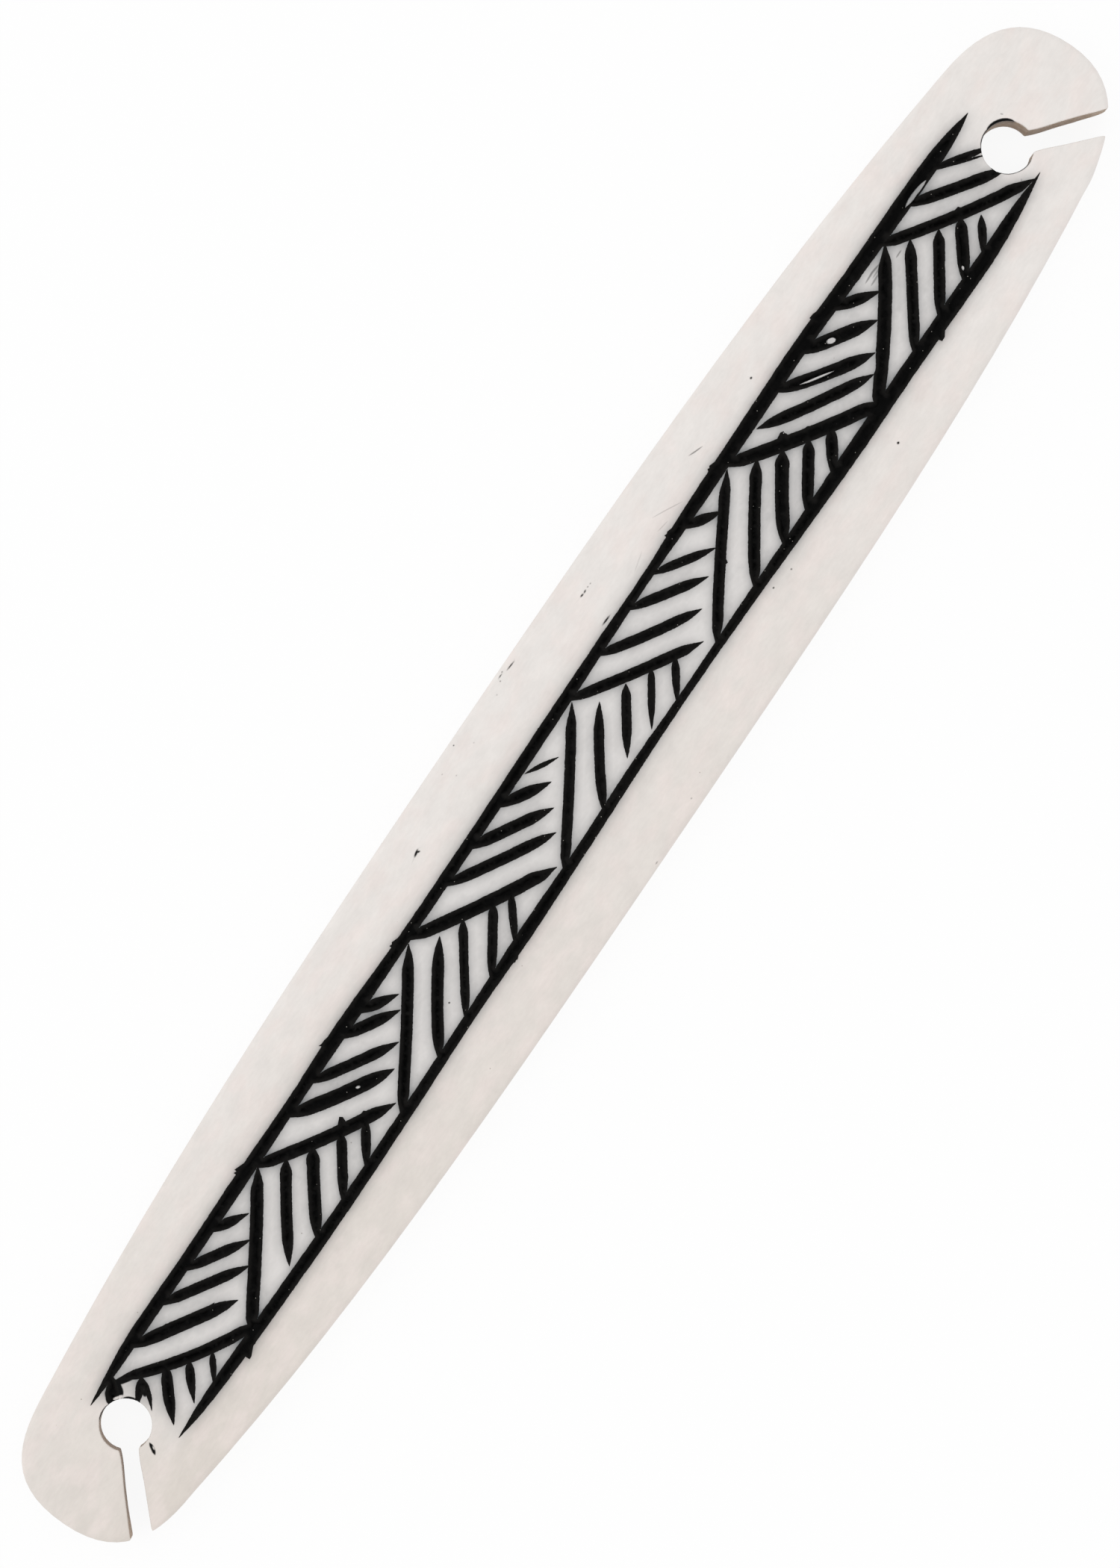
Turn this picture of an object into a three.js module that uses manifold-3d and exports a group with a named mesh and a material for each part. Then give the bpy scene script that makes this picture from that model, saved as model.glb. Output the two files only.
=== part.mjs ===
// A weaving shuttle carved from one flat piece of bone. Each end is rounded and has a round eye with an
// open slot that lets the thread in. The upper face is cut with a band of strokes between the two eyes:
// two border lines, a zigzag between them and hatching in every triangle, all filled with black.
// The blade lies on its plain back face, with its length along X and the engraved face up.

import * as THREE from 'three';
import { mergeVertices } from 'three/addons/utils/BufferGeometryUtils.js';
import Module from 'manifold-3d';

// Blade
const BLADE_LENGTH = 147.6;
const BLADE_WIDTH = 20;
const BLADE_THICKNESS = 3;
const EDGE_ROUND = 0.7;
const NOSE_LENGTH = 7.8;

// Where the curve of a long side is pulled along, as shares of the way from the middle to the nose
const SIDE_LEAD = 0.42;
const SIDE_LEAN = 0.7;

// Each end: its side of the middle, its eye, its slot and the two quarters of its outline. A quarter
// gives how much narrower than the middle the blade is where the nose starts and how much of that
// the side has already lost at its second pull. Then come the pull of the nose's curve along the
// blade and inwards and its pull at the tip, as shares of the nose's length and half width.
const END_A = {
  sign: 1,
  eyeInset: 9.97,
  eyeY: -0.42,
  slotAngle: 41.3,
  slotWidth: 1.8,
  slotMouth: 2.25,
  upper: { narrowing: 2.6, slack: 0.17, lead: 0.58, lean: 0.06, crown: 0.7 },
  lower: { narrowing: 2.45, slack: 0.02, lead: 0.43, lean: 0.11, crown: 0.73 },
};
const END_B = {
  sign: -1,
  eyeInset: 9.67,
  eyeY: 0.42,
  slotAngle: 42.2,
  slotWidth: 1.6,
  slotMouth: 1.95,
  upper: { narrowing: 2.55, slack: 0.17, lead: 0.58, lean: 0.06, crown: 0.78 },
  lower: { narrowing: 2.7, slack: 0.04, lead: 0.55, lean: 0.05, crown: 0.75 },
};
const EYE_RADIUS = 2.19;
const SLOT_OVERRUN = 2;

// Cuts and their filling
const GROOVE_DEPTH = 0.6;
const FILL_SINK = 0.12;
const FILL_CLEARANCE = 0.05;
const CUT_OVERRUN = 0.5;
const CROSSBAR_WIDTH = 1;
const RISER_WIDTH = 1;
const HATCH_WIDTH = 0.92;
const TIP_LENGTH = 2.4;
const JOINED_TIP_LENGTH = 1.1;
const BELLY_SHARE = 0.05;

// The band is laid out in steps, this many from eye to eye, counted from the middle between them.
const BAND_STEPS = 128;

// Border lines, as they were cut by hand: the side of the blade's middle line and the distance to
// it, then row by row the step, how far the line drifts outwards there and how wide it is, both as
// shares of its width.
const UPPER_BORDER = {
  sign: 1,
  distance: 4.05,
  width: 1.1,
  course: [
    [-64.3, -0.31, 0],
    [-61.8, -0.25, 0.5],
    [-57.8, -0.11, 0.9],
    [-49.8, -0.14, 0.92],
    [-41.8, -0.09, 1],
    [-33.8, -0.07, 0.87],
    [-26.8, 0, 1.08],
    [-18.8, -0.07, 0.85],
    [-7.8, -0.07, 0.86],
    [4.2, 0.05, 0.9],
    [12.2, 0.14, 0.78],
    [18.2, 0.18, 0.66],
    [24.2, 0.25, 0.95],
    [34.2, 0.32, 1.07],
    [41.2, 0.35, 1.1],
    [48.2, 0.15, 1.11],
    [56.2, 0.03, 1.2],
    [60.2, -0.05, 1.08],
    [62.6, -0.13, 0.66],
    [64.5, -0.16, 0],
  ],
};
const LOWER_BORDER = {
  sign: -1,
  distance: 4,
  width: 1,
  course: [
    [-62.4, -0.2, 0],
    [-59.8, -0.1, 0.6],
    [-55.8, 0, 0.95],
    [-49.8, 0.15, 1],
    [-39.8, 0.31, 0.97],
    [-29.8, 0.25, 0.9],
    [-19.8, 0.1, 0.8],
    [-11.8, 0.03, 1.05],
    [-3.8, -0.03, 0.85],
    [4.2, -0.2, 0.82],
    [12.2, -0.2, 0.62],
    [20.2, -0.17, 0.77],
    [28.2, -0.07, 0.97],
    [36.2, 0, 1.2],
    [44.2, -0.01, 1.18],
    [52.2, 0.07, 1.25],
    [56.2, 0.1, 1.2],
    [60.2, -0.06, 0.83],
    [63.8, -0.2, 0],
  ],
};

// Every other cut leaves one border and heads for the other. A row gives the step where its line
// leaves its own border and how many steps it would run on the whole way across, then the shares of
// that way where the cut starts and ends, its width as a share of its kind's, and its bow as a share
// of its length. A row of the lower hatching may also say that its head runs out freely instead of
// joining the crossbar.
const FREE = true;
const FREE_COLUMN = 6;
const CROSSBARS = [
  [-62.25, 11.8, 0.08, 1, 0.9, -0.04],
  [-40.85, 13.2, 0, 0.86, 1, -0.02],
  [-18.15, 13.7, 0, 0.89, 1.05, -0.012],
  [5.6, 12.5, 0, 0.85, 0.85, -0.01],
  [28.8, 12.45, 0, 1, 1.1, -0.014],
  [50.85, 12.35, 0, 1, 0.92, -0.02],
];
const RISERS = [
  [-52.35, 13, 0, 0.94, 1, -0.008],
  [-30.45, 13.2, 0, 0.94, 0.9, -0.008],
  [-6.25, 13.2, 0, 0.925, 0.8, -0.006],
  [16.35, 13.7, 0, 0.93, 0.85, 0.008],
  [39.45, 13.4, 0, 0.92, 1.05, -0.02],
];
const UPPER_HATCHING = [
  [
    [-58.75, 12.9, 0, 0.66, 1.1, 0],
    [-54.55, 12.9, 0, 0.56, 0.9, 0],
    [-51.1, 13.3, 0, 0.42, 0.9, 0],
    [-47.25, 13.4, 0, 0.255, 0.95, 0],
  ],
  [
    [-35.75, 12.9, 0, 0.66, 1.2, -0.02],
    [-32.45, 13.2, 0, 0.55, 0.95, -0.01],
    [-28.05, 13.3, 0, 0.385, 1, 0],
    [-25.5, 12.7, 0, 0.28, 1, 0],
  ],
  [
    [-12.8, 13.3, 0, 0.69, 0.95, -0.01],
    [-9.1, 13.3, 0, 0.53, 1, 0],
    [-4.95, 12.8, 0, 0.355, 1, 0],
    [-2.2, 13.9, 0.077, 0.275, 0.5, 0],
  ],
  [
    [10.05, 12.9, 0, 0.645, 0.88, -0.015],
    [14.6, 12.2, 0, 0.515, 0.85, 0],
    [18.1, 12.3, 0, 0.415, 0.75, 0],
    [22.65, 12.6, 0, 0.265, 0.95, 0],
  ],
  [
    [31.85, 14.1, 0.09, 0.745, 1, -0.012],
    [36.25, 12, 0, 0.635, 1.1, -0.02],
    [40, 13.1, 0, 0.475, 1.15, 0],
    [44.4, 11.9, 0, 0.33, 1, 0],
  ],
  [
    [54.95, 11, 0, 0.7, 0.95, -0.01],
    [58.5, 11.4, 0, 0.42, 0.6, 0],
  ],
];
const LOWER_HATCHING = [
  [
    [-64.25, 6.1, 0.4, 0.7, 0.5, -0.05],
    [-62.8, 8.65, 0.12, 0.555, 0.95, 0.02],
    [-60.05, 8.9, 0.08, 0.395, 0.75, 0.015],
    [-57.4, 10.2, 0, 0.25, 0.55, 0],
  ],
  [
    [-46.7, 11.25, 0.1, 0.75, 0.95, 0.012],
    [-42.7, 10.85, 0, 0.6, 1.05, 0.01],
    [-39, 11.5, 0, 0.44, 0.85, 0],
    [-35.6, 11.7, 0, 0.31, 0.8, 0],
  ],
  [
    [-24.75, 12, 0, 0.72, 1, 0.018, FREE],
    [-20.8, 11.15, 0, 0.635, 0.75, 0],
    [-17, 12.5, 0, 0.46, 0.8, 0],
    [-13.4, 9.9, 0, 0.375, 0.65, 0],
  ],
  [
    [-0.2, 10.85, 0, 0.69, 0.85, 0.022, FREE],
    [3.35, 11.3, 0.12, 0.565, 0.8, 0],
    [6.9, 11.6, 0.077, 0.445, 0.6, 0],
    [10.65, 10.65, 0, 0.31, 0.65, 0],
  ],
  [
    [21.95, 12.5, 0, 0.745, 1, 0.013],
    [26.25, 11.7, 0, 0.58, 1.15, 0.02],
    [29.45, 12.8, 0, 0.43, 1, 0],
    [33.25, 11.1, 0, 0.32, 1, 0],
  ],
  [
    [45.2, 10.85, 0, 0.745, 0.95, 0],
    [48.8, 11.4, 0, 0.565, 0.95, 0],
    [52.45, 10.1, 0, 0.46, 1.05, 0],
    [55.15, 10.2, 0, 0.295, 0.7, 0],
  ],
];

// Three more cuts share the filling of the one that they grow out of: a short stub from the upper
// border into eye B, a spur from the first lower hatch into the same eye, and a thin second line
// beside the last upper hatch.
const BORDER_STUB = [-61.1, -10, 0, 0.26, 1.4, 0];
const EYE_SPUR = [-71.3, 16.3, 0.54, 0.7, 0.75, 0];
const THIN_LINE = [58.6, 9.1, 0, 0.42, 0.3, 0];

// How finely curves are drawn
const OUTLINE_SEGMENTS = 14;
const EDGE_SEGMENTS = 3;
const EYE_SEGMENTS = 40;
const STROKE_STATIONS = 8;
const BORDER_STATIONS = 44;

const wasm = await Module();
wasm.setup();

// Solids

function toSolid(geometry) {
  const bare = geometry.clone();
  bare.deleteAttribute('normal');
  bare.deleteAttribute('uv');
  const merged = mergeVertices(bare);
  const mesh = new wasm.Mesh({
    numProp: 3,
    vertProperties: new Float32Array(merged.attributes.position.array),
    triVerts: new Uint32Array(merged.index.array),
  });
  mesh.merge();
  return new wasm.Manifold(mesh);
}

function toGeometry(solid) {
  const mesh = solid.getMesh();
  const geometry = new THREE.BufferGeometry();
  geometry.setAttribute('position', new THREE.BufferAttribute(mesh.vertProperties, 3));
  geometry.setIndex(new THREE.BufferAttribute(mesh.triVerts, 1));
  geometry.computeVertexNormals();
  return geometry;
}

function prism(outline, bottom, top) {
  const shape = new THREE.Shape(outline);
  const geometry = new THREE.ExtrudeGeometry(shape, { depth: top - bottom, bevelEnabled: false });
  geometry.translate(0, 0, bottom);
  return toSolid(geometry);
}

function unite(solids) {
  return solids.reduce((whole, solid) => whole.add(solid));
}

// Blade outline, from the middle of the upper side round the two ends

function shoulder(end, quarter, above) {
  const x = end.sign * (BLADE_LENGTH / 2 - NOSE_LENGTH);
  const y = above * (BLADE_WIDTH / 2 - quarter.narrowing);
  return new THREE.Vector2(x, y);
}

function sideCurve(end, quarter, above) {
  const start = new THREE.Vector2(0, above * BLADE_WIDTH / 2);
  const stop = shoulder(end, quarter, above);
  const lead = new THREE.Vector2(SIDE_LEAD * stop.x, start.y);
  const lean = new THREE.Vector2(SIDE_LEAN * stop.x, start.y - above * quarter.slack * quarter.narrowing);
  return [start, lead, lean, stop];
}

function noseCurve(end, quarter, above) {
  const start = shoulder(end, quarter, above);
  const tip = new THREE.Vector2(end.sign * BLADE_LENGTH / 2, 0);
  const leadX = start.x + end.sign * quarter.lead * NOSE_LENGTH;
  const lead = new THREE.Vector2(leadX, start.y * (1 - quarter.lean));
  const crown = new THREE.Vector2(tip.x, start.y * quarter.crown);
  return [start, lead, crown, tip];
}

function bladeOutline() {
  const curves = [
    sideCurve(END_A, END_A.upper, 1),
    noseCurve(END_A, END_A.upper, 1),
    noseCurve(END_A, END_A.lower, -1).reverse(),
    sideCurve(END_A, END_A.lower, -1).reverse(),
    sideCurve(END_B, END_B.lower, -1),
    noseCurve(END_B, END_B.lower, -1),
    noseCurve(END_B, END_B.upper, 1).reverse(),
    sideCurve(END_B, END_B.upper, 1).reverse(),
  ];
  const shape = new THREE.Shape();
  shape.moveTo(0, BLADE_WIDTH / 2);
  for (const [, lead, lean, stop] of curves) {
    shape.bezierCurveTo(lead.x, lead.y, lean.x, lean.y, stop.x, stop.y);
  }
  return shape;
}

function blank() {
  const geometry = new THREE.ExtrudeGeometry(bladeOutline(), {
    depth: BLADE_THICKNESS - 2 * EDGE_ROUND,
    curveSegments: OUTLINE_SEGMENTS,
    bevelEnabled: true,
    bevelThickness: EDGE_ROUND,
    bevelSize: EDGE_ROUND,
    bevelOffset: -EDGE_ROUND,
    bevelSegments: EDGE_SEGMENTS,
  });
  geometry.translate(0, 0, EDGE_ROUND);
  return toSolid(geometry);
}

// Eyes and the slots that open them to the lower side of the blade

function eyeCentre(end) {
  return new THREE.Vector2(end.sign * (BLADE_LENGTH / 2 - end.eyeInset), end.eyeY);
}

function eyeCutter(end) {
  const centre = eyeCentre(end);
  const height = BLADE_THICKNESS + 2 * CUT_OVERRUN;
  const geometry = new THREE.CylinderGeometry(EYE_RADIUS, EYE_RADIUS, height, EYE_SEGMENTS);
  geometry.rotateX(Math.PI / 2);
  geometry.translate(centre.x, centre.y, BLADE_THICKNESS / 2);
  return toSolid(geometry);
}

function slotCutter(end) {
  const centre = eyeCentre(end);
  const angle = THREE.MathUtils.degToRad(end.slotAngle);
  const along = new THREE.Vector2(end.sign * Math.cos(angle), -Math.sin(angle));
  const across = new THREE.Vector2(-along.y, along.x);
  const length = BLADE_WIDTH / 2 / Math.sin(angle) + SLOT_OVERRUN;
  const mouthAt = (BLADE_WIDTH / 2 - end.lower.narrowing + end.eyeY) / Math.sin(angle);
  const flare = (end.slotMouth - end.slotWidth) / (mouthAt - EYE_RADIUS);
  const point = (distance, sideways) => {
    const width = end.slotWidth + flare * (distance - EYE_RADIUS);
    return centre.clone().addScaledVector(along, distance).addScaledVector(across, sideways * width / 2);
  };
  const outline = [point(0, -1), point(length, -1), point(length, 1), point(0, 1)];
  return prism(outline, -CUT_OVERRUN, BLADE_THICKNESS + CUT_OVERRUN);
}

function eyesAndSlots() {
  return unite([END_A, END_B].flatMap((end) => [eyeCutter(end), slotCutter(end)]));
}

// Outlines of the cuts

const eyeA = eyeCentre(END_A);
const eyeB = eyeCentre(END_B);
const BAND_MIDDLE = (eyeA.x + eyeB.x) / 2;
const STEP = (eyeA.x - eyeB.x) / BAND_STEPS;

function xAt(step) {
  return BAND_MIDDLE + step * STEP;
}

function borderY(border, drift) {
  return border.sign * (border.distance + drift * border.width);
}

function borderAt(border, step) {
  const { course } = border;
  const last = course.length - 1;
  const held = THREE.MathUtils.clamp(step, course[0][0], course[last][0]);
  const next = Math.max(1, course.findIndex(([at]) => at >= held));
  const [step0, drift0] = course[next - 1];
  const [step1, drift1] = course[next];
  const drift = THREE.MathUtils.mapLinear(held, step0, step1, drift0, drift1);
  return new THREE.Vector2(xAt(step), borderY(border, drift));
}

// Where a cut has narrowed to twice the gap, between a station that is too narrow and the next one
function narrowPoint(outer, inner, gap) {
  const share = (gap - outer.halfWidth) / (inner.halfWidth - outer.halfWidth);
  return outer.centre.clone().lerp(inner.centre, share);
}

// The outline of a cut that runs through its stations, drawn in all round by a gap
function ribbon(stations, gap) {
  const isOpen = ({ halfWidth }, index) => index > 0 && index < stations.length - 1 && halfWidth > gap;
  const first = stations.findIndex(isOpen);
  const last = stations.findLastIndex(isOpen);
  const right = [narrowPoint(stations[first - 1], stations[first], gap)];
  const left = [narrowPoint(stations[last + 1], stations[last], gap)];
  for (let index = first; index <= last; index += 1) {
    const { centre, halfWidth } = stations[index];
    const along = stations[index + 1].centre.clone().sub(stations[index - 1].centre).normalize();
    const across = new THREE.Vector2(-along.y, along.x).multiplyScalar(halfWidth - gap);
    right.push(centre.clone().sub(across));
    left.splice(1, 0, centre.clone().add(across));
  }
  return [...right, ...left];
}

function borderStations(border) {
  const points = border.course.map(([step, drift, share]) => {
    const halfWidth = share * border.width / 2;
    return new THREE.Vector3(xAt(step), borderY(border, drift), halfWidth);
  });
  const curve = new THREE.CatmullRomCurve3(points);
  return curve.getPoints(BORDER_STATIONS).map((point) => {
    return { centre: new THREE.Vector2(point.x, point.y), halfWidth: Math.max(0, point.z) };
  });
}

function taper(distance, tipLength) {
  return Math.sin(Math.min(1, distance / tipLength) * Math.PI / 2);
}

function strokeStations(row, own, far, kindWidth, headLength) {
  const [step, run, start, end, share, bow] = row;
  const from = borderAt(own, step);
  const to = borderAt(far, step + run);
  const tail = from.clone().lerp(to, start);
  const tip = from.clone().lerp(to, end);
  const length = tail.distanceTo(tip);
  const along = tip.clone().sub(tail).normalize();
  const across = new THREE.Vector2(-along.y, along.x);
  return Array.from({ length: STROKE_STATIONS + 1 }, (_, index) => {
    const at = index / STROKE_STATIONS;
    const sway = bow * length * Math.sin(Math.PI * at);
    const centre = tail.clone().lerp(tip, at).addScaledVector(across, sway);
    const ends = taper(at * length, TIP_LENGTH) * taper((1 - at) * length, headLength);
    const fullness = ends * (1 + BELLY_SHARE * Math.sin(Math.PI * at));
    return { centre, halfWidth: share * kindWidth * fullness / 2 };
  });
}

function downward(row, kindWidth) {
  return strokeStations(row, UPPER_BORDER, LOWER_BORDER, kindWidth, TIP_LENGTH);
}

function upward(row, kindWidth, headLength) {
  return strokeStations(row, LOWER_BORDER, UPPER_BORDER, kindWidth, headLength);
}

function numbered(kind, panels, stationsOf) {
  return panels.flatMap((rows, panel) => rows.map((row, index) => {
    return { name: `${kind}_${panel + 1}_${index + 1}_fill`, ribbons: [stationsOf(row)] };
  }));
}

// The cuts kind by kind. Where two meet, the kind that comes first here interrupts the one that
// comes later.
function listCuts() {
  const stub = downward(BORDER_STUB, HATCH_WIDTH);
  const borders = [
    { name: 'border_upper_fill', ribbons: [borderStations(UPPER_BORDER), stub] },
    { name: 'border_lower_fill', ribbons: [borderStations(LOWER_BORDER)] },
  ];
  const crossbars = CROSSBARS.map((row, index) => {
    return { name: `crossbar_${index + 1}_fill`, ribbons: [downward(row, CROSSBAR_WIDTH)] };
  });
  const risers = RISERS.map((row, index) => {
    return { name: `riser_${index + 1}_fill`, ribbons: [upward(row, RISER_WIDTH, TIP_LENGTH)] };
  });
  const upperHatches = numbered('upper_hatch', UPPER_HATCHING, (row) => downward(row, HATCH_WIDTH));
  const lowerHatches = numbered('lower_hatch', LOWER_HATCHING, (row) => {
    const isFree = row[FREE_COLUMN] === FREE;
    return upward(row, HATCH_WIDTH, isFree ? TIP_LENGTH : JOINED_TIP_LENGTH);
  });
  upperHatches.at(-1).ribbons.push(downward(THIN_LINE, HATCH_WIDTH));
  lowerHatches[0].ribbons.push(upward(EYE_SPUR, HATCH_WIDTH, JOINED_TIP_LENGTH));
  return [borders, crossbars, risers, [...upperHatches, ...lowerHatches]];
}

function groove(cut) {
  const floor = BLADE_THICKNESS - GROOVE_DEPTH;
  const top = BLADE_THICKNESS + CUT_OVERRUN;
  return unite(cut.ribbons.map((stations) => prism(ribbon(stations, 0), floor, top)));
}

function filling(cut) {
  const bottom = BLADE_THICKNESS - GROOVE_DEPTH + FILL_CLEARANCE;
  const top = BLADE_THICKNESS - FILL_SINK;
  return unite(cut.ribbons.map((stations) => prism(ribbon(stations, FILL_CLEARANCE), bottom, top)));
}

// Materials

function boneMaterial() {
  return new THREE.MeshStandardMaterial({ color: 0xe8e1d9, roughness: 0.5, metalness: 0 });
}

function blackMaterial() {
  return new THREE.MeshStandardMaterial({ color: 0x0b0b0b, roughness: 0.45, metalness: 0 });
}

// Assembly

function namedMesh(name, solid, material) {
  const mesh = new THREE.Mesh(toGeometry(solid), material);
  mesh.name = name;
  return mesh;
}

function buildShuttle() {
  const shuttle = new THREE.Group();
  const openings = eyesAndSlots();
  let cutSoFar = openings;
  for (const kind of listCuts()) {
    const grooves = kind.map(groove);
    kind.forEach((cut) => {
      const solid = filling(cut).subtract(cutSoFar);
      shuttle.add(namedMesh(cut.name, solid, blackMaterial()));
    });
    cutSoFar = unite([cutSoFar, ...grooves]);
  }
  shuttle.add(namedMesh('blade', blank().subtract(cutSoFar), boneMaterial()));
  return shuttle;
}

const shuttle = buildShuttle();

export default shuttle;
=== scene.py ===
"""The looks of a bone weaving shuttle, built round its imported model.

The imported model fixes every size. This script cuts it with level planes to find the blade's
outline and the rims of its cuts. It draws both finer and less even, as a hand leaves them, and
raises from them the carved blade and the black filling of every cut. Lengths are in millimetres
until a mesh is made.
"""

from __future__ import annotations

import logging
import math
from dataclasses import dataclass, field
from enum import Enum
from typing import Any, Iterator, Sequence, Union

import bpy
import numpy as np
from mathutils import Matrix, Vector
from mathutils.bvhtree import BVHTree
from mathutils.geometry import delaunay_2d_cdt
from mathutils.kdtree import KDTree


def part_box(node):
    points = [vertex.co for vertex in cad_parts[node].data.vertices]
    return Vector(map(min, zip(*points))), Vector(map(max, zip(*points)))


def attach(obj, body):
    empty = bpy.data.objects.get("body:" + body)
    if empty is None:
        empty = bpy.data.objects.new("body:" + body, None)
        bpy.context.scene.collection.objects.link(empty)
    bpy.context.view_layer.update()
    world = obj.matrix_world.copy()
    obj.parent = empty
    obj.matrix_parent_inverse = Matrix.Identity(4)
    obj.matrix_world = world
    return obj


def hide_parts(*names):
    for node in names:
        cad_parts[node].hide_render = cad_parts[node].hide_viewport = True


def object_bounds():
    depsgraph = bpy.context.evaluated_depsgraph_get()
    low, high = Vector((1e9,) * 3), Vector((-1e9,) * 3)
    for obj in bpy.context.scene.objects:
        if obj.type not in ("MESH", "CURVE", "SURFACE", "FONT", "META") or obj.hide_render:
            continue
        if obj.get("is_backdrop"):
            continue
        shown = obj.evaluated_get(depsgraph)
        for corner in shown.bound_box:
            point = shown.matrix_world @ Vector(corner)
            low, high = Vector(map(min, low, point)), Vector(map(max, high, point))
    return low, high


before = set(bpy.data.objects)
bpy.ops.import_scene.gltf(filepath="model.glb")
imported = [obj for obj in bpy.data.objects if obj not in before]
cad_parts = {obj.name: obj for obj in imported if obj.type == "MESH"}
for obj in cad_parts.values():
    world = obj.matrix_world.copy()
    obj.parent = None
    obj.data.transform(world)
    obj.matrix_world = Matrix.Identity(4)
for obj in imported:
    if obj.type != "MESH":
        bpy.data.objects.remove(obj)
CAD_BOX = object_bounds()

log = logging.getLogger("shuttle")

Array = np.ndarray
Object = bpy.types.Object
Place = tuple[float, float]
Triple = tuple[float, float, float]

MM = 0.001  # metres
TINY = 1e-9  # keeps a division from failing
SAME = 1e-5  # points closer than this, in millimetres, are one point
BODY = "root"


# Lines in the plane of the blade


def norms(vectors: Array) -> Array:
    """Returns the length of each vector."""
    return np.linalg.norm(vectors, axis=1)


def unit(vectors: Array) -> Array:
    """Returns the vectors with a length of one."""
    return vectors / np.maximum(norms(vectors)[:, None], TINY)


def nearest(points: Array, place: Sequence[float]) -> int:
    """Returns the index of the point that is nearest to a place."""
    return int(np.argmin(norms(points - place)))


def search_tree(points: Array) -> KDTree:
    """Builds a tree that finds the nearest of some points.

    Args:
        points: One row of x and y for each point.

    Returns:
        The tree.
    """
    tree = KDTree(len(points))
    for index, (x, y) in enumerate(points):
        tree.insert((x, y, 0), index)
    tree.balance()
    return tree


def found_in(tree: KDTree, points: Array) -> Array:
    """Returns the index that a tree finds for each point."""
    return np.array([tree.find((x, y, 0))[1] for x, y in points], dtype=int)


def cross(one: Array, other: Array) -> Array:
    """Returns the turn from one set of plane vectors to another, positive to the left."""
    return one[:, 0] * other[:, 1] - one[:, 1] * other[:, 0]


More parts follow.
